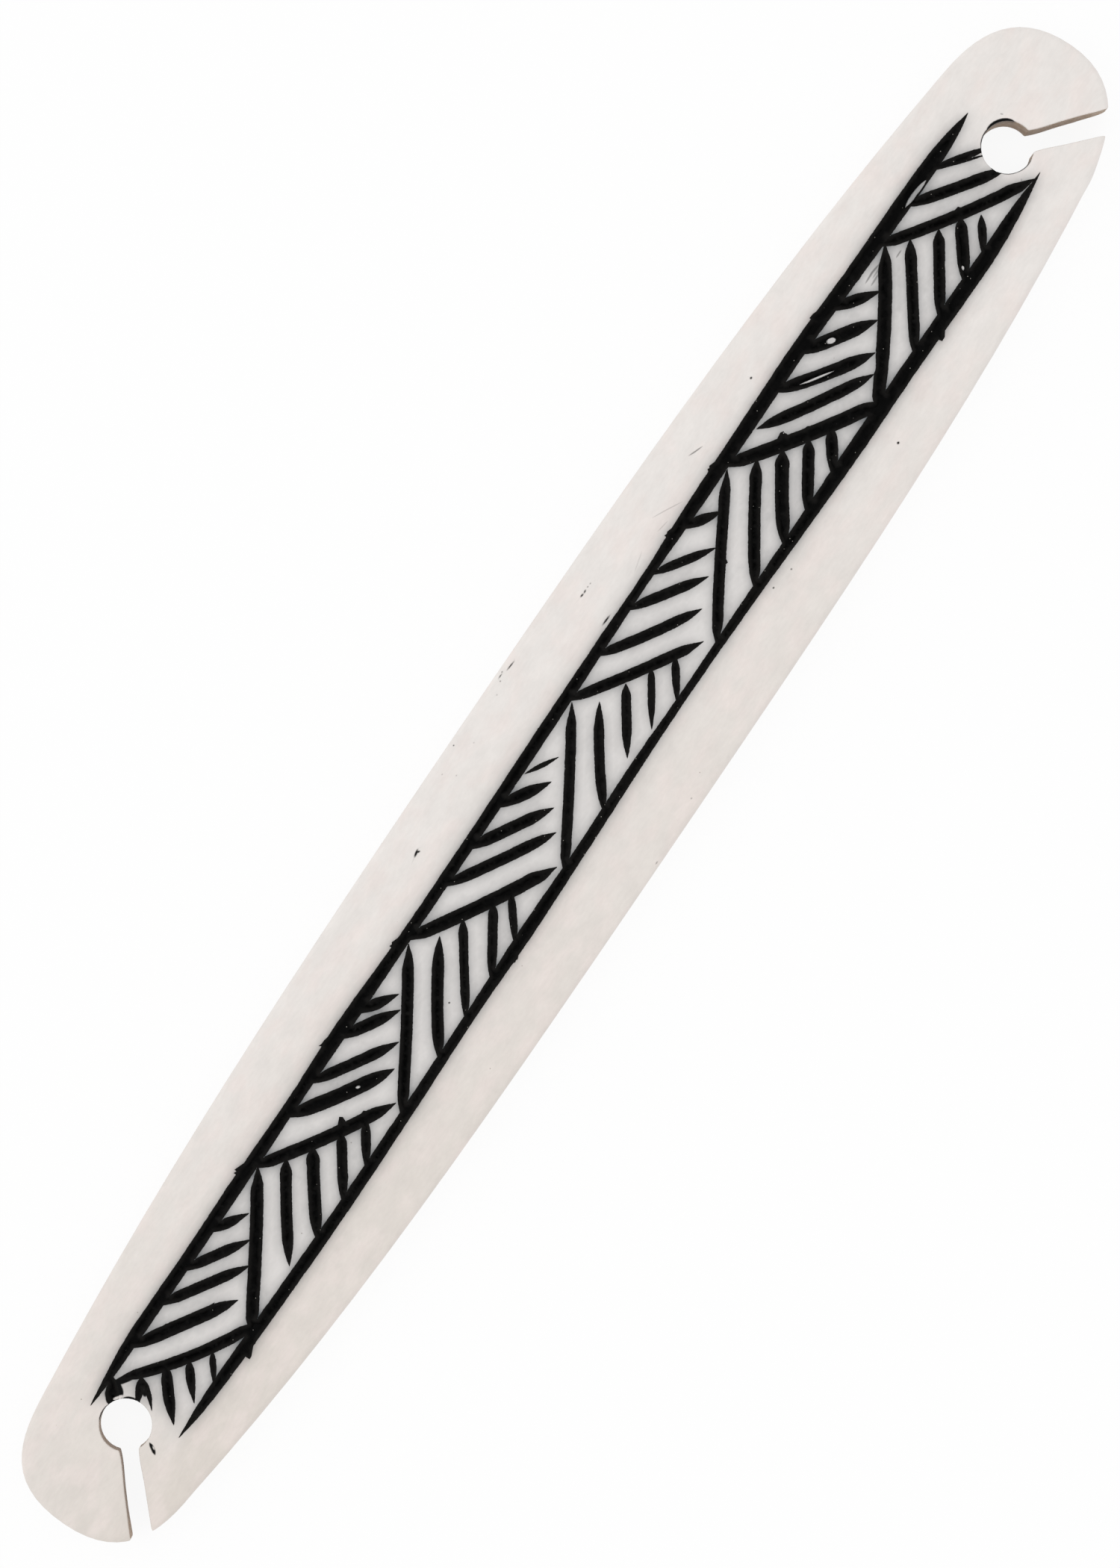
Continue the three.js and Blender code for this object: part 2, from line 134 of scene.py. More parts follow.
@dataclass
class Line:
    """A run of points in the plane, with the bone on its left.

    Attributes:
        points: One row of x and y for each point.
        closed: Whether the last point joins the first.
        calm: How far each point is from the nearest corner, along the line.
        ROOM: How far from a corner the other points keep, as a multiple of its curve's reach.
    """

    ROOM = 1.2

    points: Array
    closed: bool = True
    calm: Array = field(default_factory=lambda: np.zeros(0))

    def steps(self) -> Array:
        """Returns the vector from each point to the next one."""
        ahead = np.roll(self.points, -1, axis=0) - self.points
        return ahead if self.closed else ahead[:-1]

    def area(self) -> float:
        """Returns the area that a closed line goes round, positive where it turns left."""
        return float(cross(self.points, np.roll(self.points, -1, axis=0)).sum() / 2)

    def cleaned(self, gap: float) -> Line:
        """Drops points that lie closer than a gap to the one kept before them.

        Args:
            gap: The least distance between two points.

        Returns:
            The line with the points that are left.
        """
        kept = [self.points[0]]
        for point in self.points[1:]:
            if np.linalg.norm(point - kept[-1]) >= gap:
                kept.append(point)
        if self.closed and len(kept) > 3 and np.linalg.norm(kept[0] - kept[-1]) < gap:
            kept.pop()
        return Line(np.array(kept), self.closed)

    def corners(self, sharpness: float) -> Array:
        """Finds the corners.

        Args:
            sharpness: The least turn of a corner, in degrees.

        Returns:
            True for each point that is a corner. The ends of an open line are corners.
        """
        after = unit(np.roll(self.points, -1, axis=0) - self.points)
        before = unit(self.points - np.roll(self.points, 1, axis=0))
        turn = np.degrees(np.arctan2(np.abs(cross(before, after)), (before * after).sum(axis=1)))
        found = turn > sharpness
        if not self.closed:
            found[[0, -1]] = True
        return found

    def rounded(self, sharpness: float, reach: float, points: int = 5) -> Line:
        """Softens each corner with a short curve.

        Args:
            sharpness: The least turn of a corner, in degrees.
            reach: How far from the corner its curve starts and ends.
            points: How many points a curve has.

        Returns:
            The line without its corners.
        """
        found = self.corners(sharpness)
        away = np.linalg.norm(self.points[:, None] - self.points[found][None], axis=2).min(axis=1)
        kept = found | (away > reach * self.ROOM)
        corner, base = found[kept], self.points[kept]
        ahead = unit(np.roll(base, -1, axis=0) - base)
        made: list[Array] = []
        for index, point in enumerate(base):
            if not corner[index]:
                made.append(point)
                continue
            start = point - reach * ahead[index - 1]
            stop = point + reach * ahead[index]
            for share in np.linspace(0, 1, points):
                rest = 1 - share
                made.append(rest**2 * start + 2 * share * rest * point + share**2 * stop)
        return Line(np.array(made), self.closed)

    def smoothed(self, step: float, sharpness: float) -> Line:
        """Runs a smooth curve through the points and leaves the corners as they are.

        Args:
            step: The distance between the new points, at most.
            sharpness: The least turn of a corner, in degrees.

        Returns:
            The finer line, which knows how far each of its points is from a corner.
        """
        found = self.corners(sharpness)
        points = self.points
        if self.closed and found.any():
            first = int(np.argmax(found))
            points, found = np.roll(points, -first, axis=0), np.roll(found, -first)
        if self.closed:
            points = np.concatenate([points, points[:1]])
            found = np.append(found, found[0])
        chords = np.diff(points, axis=0)
        lengths = norms(chords)
        slopes = chords / lengths[:, None]
        made: list[Array] = []
        marks: list[bool] = []
        last = len(chords) - 1
        for index, length in enumerate(lengths):
            before = index - 1 if index else (last if self.closed else index)
            after = index + 1 if index < last else (0 if self.closed else index)
            lead = tail = slopes[index]
            if not found[index]:
                lead = self._lean(slopes, lengths, before, index)
            if not found[index + 1]:
                tail = self._lean(slopes, lengths, index, after)
            ends = points[index], points[index + 1], lead * length, tail * length
            count = max(1, math.ceil(length / step))
            for share in np.arange(count) / count:
                made.append(self._hermite(*ends, share))
                marks.append(bool(found[index]) and share == 0)
        if not self.closed:
            made.append(points[-1])
            marks.append(True)
        fine = Line(np.array(made), self.closed)
        fine.calm = fine._calm(np.array(marks))
        return fine

    @staticmethod
    def _lean(slopes: Array, lengths: Array, before: int, after: int) -> Array:
        """Returns the direction at the point between two chords, closer to the shorter one's."""
        mixed = slopes[before] * lengths[after] + slopes[after] * lengths[before]
        return mixed / (lengths[before] + lengths[after])

    @staticmethod
    def _hermite(start: Array, stop: Array, lead: Array, tail: Array, at: float) -> Array:
        """Returns the point at a share of the way along a cubic from start to stop."""
        rise = at * at * (3 - 2 * at)
        return start + (stop - start) * rise + lead * at * (1 - at) ** 2 - tail * at * at * (1 - at)

    def _calm(self, corners: Array) -> Array:
        """Measures how far each point is from the nearest corner, along the line.

        Args:
            corners: True for each point that is a corner.

        Returns:
            One distance for each point, or the whole length where there is no corner.
        """
        lengths = norms(self.steps())
        whole = float(lengths.sum())
        at = np.concatenate([[0.0], np.cumsum(lengths)])[: len(self.points)]
        places = at[corners]
        if not len(places):
            return np.full(len(self.points), whole)
        away = np.abs(at[:, None] - places[None, :])
        if self.closed:
            away = np.minimum(away, whole - away)
        return away.min(axis=1)

    def normals(self) -> Array:
        """Finds the direction to the right of the line at each point, away from the bone.

        Returns:
            One vector with a length of one for each point.
        """
        along = np.roll(self.points, -1, axis=0) - np.roll(self.points, 1, axis=0)
        if not self.closed:
            along[0] = self.points[1] - self.points[0]
            along[-1] = self.points[-1] - self.points[-2]
        along = unit(along)
        return np.stack([along[:, 1], -along[:, 0]], axis=1)

    def shifted(self, distance: float) -> Array:
        """Returns the points moved to the right of the line by a distance."""
        return self.points + self.normals() * distance

    def runs(self, wanted: Array) -> list[Line]:
        """Splits a closed line into the open runs of the points that are wanted.

        Args:
            wanted: True for each point that is kept.

        Returns:
            The runs in order. A line whose points are all wanted comes back closed.
        """
        if wanted.all():
            return [Line(self.points)]
        if not wanted.any():
            return []
        first = int(np.argmin(wanted))
        points, wanted = np.roll(self.points, -first, axis=0), np.roll(wanted, -first)
        edges = np.flatnonzero(np.diff(np.concatenate([[False], wanted, [False]]).astype(int)))
        pairs = edges.reshape(-1, 2)
        return [Line(points[a:b], False) for a, b in pairs if b - a > 1]

    def extended(self, reach: float) -> Line:
        """Carries both ends of an open line straight on.

        Args:
            reach: How far each end goes on.

        Returns:
            The longer line. A closed line comes back as it is.
        """
        if self.closed:
            return self
        ends = unit(np.array([self.points[0] - self.points[1], self.points[-1] - self.points[-2]]))
        head, foot = self.points[0] + reach * ends[0], self.points[-1] + reach * ends[1]
        return Line(np.concatenate([[head], self.points, [foot]]), False)


class Nearness:
    """Tells how far points are from a set of lines, and on which side of the nearest one."""

    def __init__(self, lines: Sequence[Line]) -> None:
        """Keeps the lines' points with their neighbours.

        Args:
            lines: The lines to measure from.
        """
        self.points = np.concatenate([line.points for line in lines])
        before, after = [], []
        start = 0
        for line in lines:
            count = len(line.points)
            index = np.arange(count)
            wrap = (lambda k: k % count) if line.closed else (lambda k: np.clip(k, 0, count - 1))
            before.append(start + wrap(index - 1))
            after.append(start + wrap(index + 1))
            start += count
        self.before, self.after = np.concatenate(before), np.concatenate(after)
        self.tree = search_tree(self.points)

    def measure(self, points: Array) -> Array:
        """Measures points from the nearest line.

        Args:
            points: One row of x and y for each point.

        Returns:
            The signed distances, positive to the right of the nearest line.
        """
        near = found_in(self.tree, points)
        middle = self.points[near]
        back, ahead = self.points[self.before[near]], self.points[self.after[near]]
        gap_back, foot_back = self._to_segment(points, back, middle)
        gap_ahead, foot_ahead = self._to_segment(points, middle, ahead)
        at_point = (foot_back >= 1 - TINY) & (foot_ahead <= TINY)
        along = np.where((gap_back < gap_ahead)[:, None], middle - back, ahead - middle)
        along[at_point] = (ahead - back)[at_point]
        side = -np.sign(cross(along, points - middle))
        return side * np.minimum(gap_back, gap_ahead)

    @staticmethod
    def _to_segment(points: Array, start: Array, stop: Array) -> tuple[Array, Array]:
        """Measures points from a segment each.

        Args:
            points: One row of x and y for each point.
            start: Where each segment starts.
            stop: Where each segment ends.

        Returns:
            The distances, and how far along its segment each nearest place is, from 0 to 1.
        """
        chord = stop - start
        square = np.maximum((chord**2).sum(axis=1), TINY**2)
        share = np.clip(((points - start) * chord).sum(axis=1) / square, 0, 1)
        gap = norms(points - start - chord * share[:, None])
        return gap, share


def section(node: Object, height: float) -> list[Line]:
    """Cuts a CAD node with a level plane.

    Args:
        node: The CAD node's object.
        height: The height of the plane, where the node has no corner.

    Returns:
        The closed outlines of the solid there, with the solid on their left.
    """
    mesh = node.data
    raw = np.empty(len(mesh.vertices) * 3)
    mesh.vertices.foreach_get("co", raw)
    faces = np.array([tuple(polygon.vertices) for polygon in mesh.polygons])
    points, merged = np.unique(np.round(raw.reshape(-1, 3) / MM, 3), axis=0, return_inverse=True)
    faces = merged.reshape(-1)[faces]
    above = points[:, 2] > height
    crossing = faces[above[faces].any(axis=1) & ~above[faces].all(axis=1)]
    following: dict[tuple[int, int], tuple[int, int]] = {}
    for face in crossing:
        pairs = [tuple(sorted((face[k], face[(k + 1) % 3]))) for k in range(3)]
        cut = [pair for pair in pairs if above[pair[0]] != above[pair[1]]]
        if len(set(face)) < 3 or len(cut) != 2:
            continue
        normal = np.cross(points[face[1]] - points[face[0]], points[face[2]] - points[face[0]])
        start, stop = (level_point(points, pair, height) for pair in cut)
        if (stop - start) @ np.array([-normal[1], normal[0]]) < 0:
            cut.reverse()
        following[cut[0]] = cut[1]
    outlines = ([level_point(points, pair, height) for pair in loop] for loop in loops(following))
    return [Line(np.array(outline)) for outline in outlines]


def level_point(points: Array, pair: tuple[int, int], height: float) -> Array:
    """Returns where the edge between a pair of points passes through a height."""
    low, high = points[pair[0]], points[pair[1]]
    return (low + (high - low) * (height - low[2]) / (high[2] - low[2]))[:2]


def loops(following: dict[Any, Any]) -> Iterator[list[Any]]:
    """Chains links into loops.

    Args:
        following: What comes after each key. It is emptied.

    Yields:
        The keys of one closed loop after another.
    """
    while following:
        first, at = following.popitem()
        loop = [first]
        while at in following:
            loop.append(at)
            at = following.pop(at)
        if at == first:
            yield loop


# Small hand marks


@dataclass(frozen=True)
class Spot:
    """A small oval place on the engraved face.

    Attributes:
        x: Its middle along the blade.
        y: Its middle across the blade.
        length: Its long side.
        width: Its short side.
        turn: How far its long side is turned from the blade's length, in degrees.
        strength: How strong it is, from 0 to 1.
    """

    x: float
    y: float
    length: float
    width: float
    turn: float = 0.0
    strength: float = 1.0

    def beyond(self, points: Array) -> Array:
        """Measures how far points are outside the oval.

        Args:
            points: One row of x and y for each point.

        Returns:
            One distance for each point, negative inside.
        """
        angle = math.radians(self.turn)
        offset = points - (self.x, self.y)
        along = offset @ (math.cos(angle), math.sin(angle))
        across = offset @ (-math.sin(angle), math.cos(angle))
        share = np.hypot(along / (self.length / 2), across / (self.width / 2))
        return (share - 1) * self.width / 2

    def corners(self) -> Array:
        """Returns two opposite corners of a box round the oval."""
        reach = max(self.length, self.width) / 2
        return np.array([(self.x - reach, self.y - reach), (self.x + reach, self.y + reach)])


@dataclass(frozen=True)
class Trace:
    """A thin line of ink or a scratch on the engraved face, thinner towards its ends.

    Attributes:
        path: The places that it runs through.
        width: Its width in the middle.
        strength: How strong it is, from 0 to 1.
    """

    path: tuple[Place, ...]
    width: float
    strength: float = 1.0

    def beyond(self, points: Array) -> Array:
        """Measures how far points are outside the line's own width.

        Args:
            points: One row of x and y for each point.

        Returns:
            One distance for each point, negative inside.
        """
        path = np.array(self.path)
        lengths = norms(np.diff(path, axis=0))
        at = np.concatenate([[0.0], np.cumsum(lengths)]) / lengths.sum()
        closest = np.full(len(points), math.inf)
        for start, stop, low, high in zip(path, path[1:], at, at[1:]):
            chord = stop - start
            share = np.clip(((points - start) @ chord) / (chord @ chord), 0, 1)
            gap = norms(points - start - share[:, None] * chord)
            where = low + (high - low) * share
            taper = 1 - np.abs(2 * where - 1) ** 3
            closest = np.minimum(closest, gap - self.width / 2 * taper)
        return closest

    def corners(self) -> Array:
        """Returns two opposite corners of a box round the line."""
        path = np.array(self.path)
        return np.array([path.min(axis=0) - self.width / 2, path.max(axis=0) + self.width / 2])


Mark = Union[Spot, Trace]


def cover(mark: Mark, points: Array, softness: float) -> Array:
    """Returns how much of a mark lies on each point, fading over a softness at its edge."""
    return mark.strength * np.clip(0.5 - mark.beyond(points) / softness, 0, 1)


def fine_net(mark: Mark, margin: float, step: float) -> Array:
    """Makes a fine net of points over a mark.

    Args:
        mark: The mark.
        margin: How far round the mark the net goes.
        step: How far apart its points are.

    Returns:
        The points.
    """
    low, high = mark.corners()
    ticks = [np.arange(low[k] - margin, high[k] + margin + step, step) for k in range(2)]
    grid = np.stack(np.meshgrid(*ticks), axis=-1).reshape(-1, 2)
    return grid[mark.beyond(grid) < margin]


@dataclass(frozen=True)
class Spur:
    """A short pointed slip of the knife beyond the rim of a cut.

    Attributes:
        x: Where on the rim it starts, along the blade.
        y: Where on the rim it starts, across the blade.
        width: How much of the rim it takes.
        tip_x: Where its tip is, along the blade.
        tip_y: Where its tip is, across the blade.
    """

    x: float
    y: float
    width: float
    tip_x: float
    tip_y: float

    def draw(self, rims: Sequence[Line]) -> None:
        """Draws the nearest rim out to the tip.

        Args:
            rims: All the rims, of which one is changed.
        """
        gaps = [norms(rim.points - (self.x, self.y)) for rim in rims]
        rim, gap = min(zip(rims, gaps), key=lambda pair: float(pair[1].min()))
        index, points = int(np.argmin(gap)), rim.points
        if rim.closed:
            points = np.roll(points, len(points) // 2 - index, axis=0)
            index = len(points) // 2
        far = norms(points - points[index]) > self.width / 2
        before, after = np.flatnonzero(far[:index]), np.flatnonzero(far[index:])
        if len(before) and len(after):
            head, rest = points[: before[-1] + 1], points[index + after[0] :]
            tip = np.array([self.tip_x, self.tip_y])
            spike = [head[-1] * 0.5 + tip * 0.5, tip, rest[0] * 0.5 + tip * 0.5]
            rim.points = np.concatenate([head, spike, rest])


def ripple(points: Array, grain: float, seed: int, waves: int = 7) -> Array:
    """Makes a gentle unevenness over the plane.

    Args:
        points: One row of x and y for each point.
        grain: The size of its waves.
        seed: Which unevenness it is.
        waves: How many waves it is the sum of.

    Returns:
        A height from about -1 to 1 for each point.
    """
    rng = np.random.default_rng(seed)
    total = np.zeros(len(points))
    for _ in range(waves):
        turn, phase = rng.uniform(0, math.tau, 2)
        stretch = rng.uniform(0.6, 1.6)
        direction = np.array([math.cos(turn), math.sin(turn)]) * math.tau / (grain * stretch)
        total += np.sin(points @ direction + phase)
    return total / math.sqrt(waves)


# The shape of the blade seen from above

REACH_OF_SAY = 0.6  # how close to a line a triangle has a say on which side its region is


class Plan:
    """The blade's outline and the rims of its cuts, drawn as a hand leaves them.

    Attributes:
        OUTLINE_LEVEL: Where the outline is read, as a share of the thickness.
        EDGE_LEVEL: Where the foot of the rounded edge is read, as a share of the thickness.
        RIM_LEVEL: How far above the bottom of the cuts their rims are read, in the same way.
        EDGE_INSET: How far the rounded edge has run inwards at its foot, at least.
        EDGE_VOTES: How many points on either side have a say on what kind of edge a point has.
        NEAR_EYE: Rims closer to an eye than this are part of its edge.
        NEAR_OUTER: Rims closer to the outer edge than this are part of it.
        CLEAN_GAP: The least distance between two points of a line.
        OUTLINE_STEP: The distance between the points of the outline, at most.
        RIM_STEP: The distance between the points of a rim, at most.
        SHARP: The least turn of a corner, in degrees.
        CORNER_REACH: How far from a corner of the outline its curve starts and ends.
        OVERRUN: How far an open rim runs on into an eye.
        SPREAD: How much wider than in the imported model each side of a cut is.
        JAG: How uneven a rim is from point to point.
        SWELL: How uneven a rim is over a few points.
        SWELL_POINTS: How many points these are.
        JAG_CALM: How far from a corner the unevenness is whole.
        SEED: The start of the random draws for the rims and the face.
    """

    OUTLINE_LEVEL = 0.5
    EDGE_LEVEL = 0.05
    RIM_LEVEL = 0.004
    EDGE_INSET = 0.15
    EDGE_VOTES = 4
    NEAR_EYE = 0.006
    NEAR_OUTER = 0.1
    CLEAN_GAP = 0.03
    OUTLINE_STEP = 0.2
    RIM_STEP = 0.12
    SHARP = 32.0
    CORNER_REACH = 0.16
    OVERRUN = 0.25
    SPREAD = 0.032
    JAG = 0.007
    SWELL = 0.007
    SWELL_POINTS = 5
    JAG_CALM = 0.5
    SEED = 11

    def __init__(self, spurs: Sequence[Spur]) -> None:
        """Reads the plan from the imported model.

        Args:
            spurs: The places where the knife slipped beyond a rim.
        """
        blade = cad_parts["blade"]
        low, high = (np.array(corner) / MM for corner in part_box("blade"))
        self.thickness = float(high[2] - low[2])
        self.floor = self._groove_floor(blade)
        whole = max(section(blade, self.thickness * self.OUTLINE_LEVEL), key=Line.area)
        softened = whole.cleaned(self.CLEAN_GAP).rounded(self.SHARP, self.CORNER_REACH)
        self.outline = softened.smoothed(self.OUTLINE_STEP, self.SHARP)
        foot = Nearness(section(blade, self.thickness * self.EDGE_LEVEL))
        self.outer, self.eyes = self._edges(self.outline, foot)
        self.rims = [self._hand_cut(line) for line in self._raw_rims(blade, whole, foot)]
        for spur in spurs:
            spur.draw(self.rims)
        self.to_outline = Nearness([self.outline])
        self.to_outer = Nearness(self.outer)
        self.to_eyes = Nearness(self.eyes)
        self.to_rims = Nearness(self.rims)

    def _edges(self, outline: Line, foot: Nearness) -> tuple[list[Line], list[Line]]:
        """Splits an outline into the rounded outer edge and the sharp edges of the eyes and slots.

        Args:
            outline: The outline.
            foot: Measures from the outline near the back, where the rounded edge has run inwards.

        Returns:
            The stretches of outer edge and those of the eyes.
        """
        count, reach = len(outline.points), self.EDGE_VOTES
        inset = (np.abs(foot.measure(outline.points)) > self.EDGE_INSET).astype(float)
        votes = np.convolve(np.tile(inset, 3), np.ones(2 * reach + 1), "same")[count : 2 * count]
        is_outer = votes > reach + 0.5
        return outline.runs(is_outer), outline.runs(~is_outer)

    @staticmethod
    def _groove_floor(blade: Object) -> float:
        """Returns the height of the bottom of the cuts: the highest level flat under the face."""
        up = [polygon.center.z for polygon in blade.data.polygons if polygon.normal.z > 1 - MM]
        top = max(up)
        return max(height for height in up if height < top - MM / 10) / MM

    def _raw_rims(self, blade: Object, whole: Line, foot: Nearness) -> Iterator[Line]:
        """Finds the rims of the cuts.

        Args:
            blade: The CAD blade.
            whole: The blade's outline.
            foot: Measures from the outline near the back.

        Yields:
            Each stretch of rim with the place at either end where it meets an eye, or each
            closed rim.
        """
        fine = whole.smoothed(self.CLEAN_GAP, 0.0)
        outer, eyes = (Nearness(lines) for lines in self._edges(fine, foot))
        for loop in section(blade, self.floor + self.RIM_LEVEL * self.thickness):
            line = loop.cleaned(self.CLEAN_GAP)
            is_rim = np.abs(eyes.measure(line.points)) > self.NEAR_EYE
            is_rim &= np.abs(outer.measure(line.points)) > self.NEAR_OUTER
            for run in line.runs(is_rim):
                yield self._to_eye(run, line)

    @staticmethod
    def _to_eye(run: Line, loop: Line) -> Line:
        """Adds to an open run the points of its loop that lie before and after it.

        Args:
            run: The run.
            loop: The closed line that it is a part of.

        Returns:
            The longer run. A closed run comes back as it is.
        """
        if run.closed:
            return run
        first, last = (nearest(loop.points, end) for end in run.points[[0, -1]])
        ends = loop.points[first - 1], loop.points[(last + 1) % len(loop.points)]
        return Line(np.concatenate([ends[:1], run.points, ends[1:]]), False)

    def _hand_cut(self, rim: Line) -> Line:
        """Draws a rim finer, a little wider and less even.

        Args:
            rim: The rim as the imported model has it.

        Returns:
            The rim as a hand leaves it.
        """
        line = rim.extended(self.OVERRUN).smoothed(self.RIM_STEP, self.SHARP)
        count = len(line.points)
        rng = np.random.default_rng([self.SEED, count])
        fine = rng.normal(0, 1, count)
        even = np.ones(self.SWELL_POINTS) / self.SWELL_POINTS**0.5
        broad = np.convolve(np.tile(rng.normal(0, 1, count), 3), even, "same")[count : 2 * count]
        steadiness = np.clip(line.calm / self.JAG_CALM, 0, 1)
        push = self.SPREAD + (self.JAG * fine + self.SWELL * broad) * steadiness
        line.points = line.points - line.normals() * push[:, None]
        return line

    def net(self) -> Net:
        """Draws the outline and all the rims.

        Returns:
            A net with no other points yet.
        """
        net = Net()
        for line in [self.outline, *self.rims]:
            net.draw(line)
        return net

    def along_edge(self, start: Place, stop: Place, width: float) -> Trace:
        """Follows the edge of an eye.

        Args:
            start: A place near the edge where the trace starts.
            stop: A place near the edge where it ends.
            width: The width of the trace.

        Returns:
            A trace on the edge.
        """
        points = self.outline.points
        first, last = nearest(points, start), nearest(points, stop)
        if (last - first) % len(points) > len(points) / 2:
            first, last = last, first
        path = [points[(first + k) % len(points)] for k in range((last - first) % len(points) + 1)]
        return Trace(tuple((float(x), float(y)) for x, y in path), width)


@dataclass
class Tiling:
    """Triangles that turn left, in regions.

    Attributes:
        points: One row of x and y for each point.
        faces: The three points of each triangle.
        regions: The region of each triangle.
    """

    points: Array
    faces: Array
    regions: Array

    def middles(self) -> Array:
        """Returns the middle of each triangle."""
        return self.points[self.faces].mean(axis=1)

    def right_of(self, nearness: Nearness, reach: float) -> Array:
        """Tells which triangles lie to the right of some lines, region by region.

        Args:
            nearness: Measures from the lines.
            reach: Only triangles this close to a line have a say for their region.

        Returns:
            True for each triangle whose region lies to the right.
        """
        distance = nearness.measure(self.middles())
        say = np.where(np.abs(distance) < reach, np.sign(distance), 0)
        return (np.bincount(self.regions, say) > 0)[self.regions]

    def kept(self, wanted: Array) -> Tiling:
        """Returns the wanted triangles with only the points that they use."""
        used, packed = np.unique(self.faces[wanted], return_inverse=True)
        return Tiling(self.points[used], packed.reshape(-1, 3), self.regions[wanted])


class Net:
    """Points and fixed edges that are joined into triangles."""

    def __init__(self) -> None:
        """Starts an empty net."""
        self.points: list[Array] = []
        self.edges: list[tuple[int, int]] = []
        self.count = 0

    def scatter(self, points: Array) -> None:
        """Adds loose points."""
        self.points.append(points)
        self.count += len(points)

    def draw(self, line: Line) -> None:
        """Adds a line whose every step stays an edge.

        Args:
            line: The line.
        """
        index = self.count + np.arange(len(line.points))
        ends = list(zip(index[:-1], index[1:]))
        if line.closed:
            ends.append((index[-1], index[0]))
        self.edges += [(int(a), int(b)) for a, b in ends]
        self.scatter(line.points)

    def joined(self) -> Tiling:
        """Joins the points.

        Returns:
            The triangles, with new points where edges cross.
        """
        flat = [Vector(point) for point in np.concatenate(self.points)]
        made = delaunay_2d_cdt(flat, self.edges, [], 0, SAME, True)
        points = np.array([tuple(point) for point in made[0]])
        faces = np.array(made[2], dtype=int)
        one, two, three = (points[faces[:, k]] for k in range(3))
        turn = cross(two - one, three - one)
        faces[turn < 0] = faces[turn < 0][:, ::-1]
        fixed = {frozenset(edge) for edge, sources in zip(made[1], made[4]) if sources}
        return Tiling(points, faces, self._regions(faces, fixed))

    @staticmethod
    def _regions(faces: Array, fixed: set[frozenset[int]]) -> Array:
        """Numbers the regions that the fixed edges part.

        Args:
            faces: The triangles.
            fixed: The edges that no region crosses.

        Returns:
            The region of each triangle.
        """
        beside: dict[frozenset[int], list[int]] = {}
        for index, (a, b, c) in enumerate(faces.tolist()):
            for edge in (frozenset((a, b)), frozenset((b, c)), frozenset((c, a))):
                if edge not in fixed:
                    beside.setdefault(edge, []).append(index)
        neighbours: list[list[int]] = [[] for _ in faces]
        for pair in beside.values():
            if len(pair) == 2:
                neighbours[pair[0]].append(pair[1])
                neighbours[pair[1]].append(pair[0])
        region = np.full(len(faces), -1)
        for start in range(len(faces)):
            if region[start] >= 0:
                continue
            waiting = [start]
            region[start] = start
            while waiting:
                for other in neighbours[waiting.pop()]:
                    if region[other] < 0:
                        region[other] = start
                        waiting.append(other)
        return np.unique(region, return_inverse=True)[1].reshape(-1)


SIFT = 0.2  # how far a point may stray from its row, as a share of the row's distance
ROW_GAP = 0.7  # how far apart the points of a row are, as a share of its distance
LEAST_GAP = 0.06  # how far apart they are at least, in millimetres


def thinned(points: Array, gap: float) -> Array:
    """Keeps at most one point in each square of a grid."""
    _, kept = np.unique(np.round(points / gap).astype(int), axis=0, return_index=True)
    return points[np.sort(kept)]


def beside(
    lines: Sequence[Line], nearness: Nearness, distances: Sequence[float], sift: float = SIFT
) -> Array:
    """Makes rows of points beside lines.

    Args:
        lines: The lines.
        nearness: Measures from all the lines that the rows must keep clear of.
        distances: How far to the right each row is, negative to the left.
        sift: How far a point may be from its row's true distance, as a share of it.

    Returns:
        The points of all rows that no other line comes too close to.
    """
    rows = []
    for distance in distances:
        row = np.concatenate([line.shifted(distance) for line in lines])
        true = nearness.measure(row)
        row = row[np.abs(true - distance) < sift * abs(distance)]
        rows.append(thinned(row, max(abs(distance) * ROW_GAP, LEAST_GAP)))
    return np.concatenate(rows)


class ThroughShade:
    """Painted shade: how much of the black in the cuts shows through the translucent bone round
    each place.

    Attributes:
        CELL: The size of a square of its map.
        MARGIN: How far round the cuts the map goes.
        REACH: How far away a cut shows through a third as strongly.
        STRENGTH: How strongly it shows through where all is black.
    """

    CELL = 0.1
    MARGIN = 4.0
    REACH = 0.35
    STRENGTH = 1.05

    def __init__(self, cuts: Tiling) -> None:
        """Spreads the area of the cuts over their surroundings.

        Args:
            cuts: The triangles that lie in a cut.
        """
        one, two, three = (cuts.points[cuts.faces[:, k]] for k in range(3))
        areas = cross(two - one, three - one) / 2
        middles = cuts.middles()
        self.low = middles.min(axis=0) - self.MARGIN
        shape = np.ceil((middles.max(axis=0) + self.MARGIN - self.low) / self.CELL).astype(int)
        places = np.floor((middles - self.low) / self.CELL).astype(int)
        black = np.zeros(shape)
        np.add.at(black, tuple(places.T), areas / self.CELL**2)
        away = [np.minimum(np.arange(n), n - np.arange(n)) * self.CELL for n in shape]
        fade = np.exp(-np.hypot(*np.meshgrid(*away, indexing="ij")) / self.REACH)
        spread = np.fft.irfft2(np.fft.rfft2(black) * np.fft.rfft2(fade / fade.sum()), shape)
        self.shade = np.clip(spread * self.STRENGTH, 0, 1)

    def at(self, points: Array) -> Array:
        """Reads the map.

        Args:
            points: One row of x and y for each point.

        Returns:
            The shade at each point, from 0 to 1.
        """
        last = np.array(self.shade.shape) - 1.001
        place = np.clip((points - self.low) / self.CELL - 0.5, 0, last)
        i, j = np.floor(place).astype(int).T
        s, t = (place - np.floor(place)).T
        near = self.shade[i, j] * (1 - t) + self.shade[i, j + 1] * t
        far = self.shade[i + 1, j] * (1 - t) + self.shade[i + 1, j + 1] * t
        return near * (1 - s) + far * s


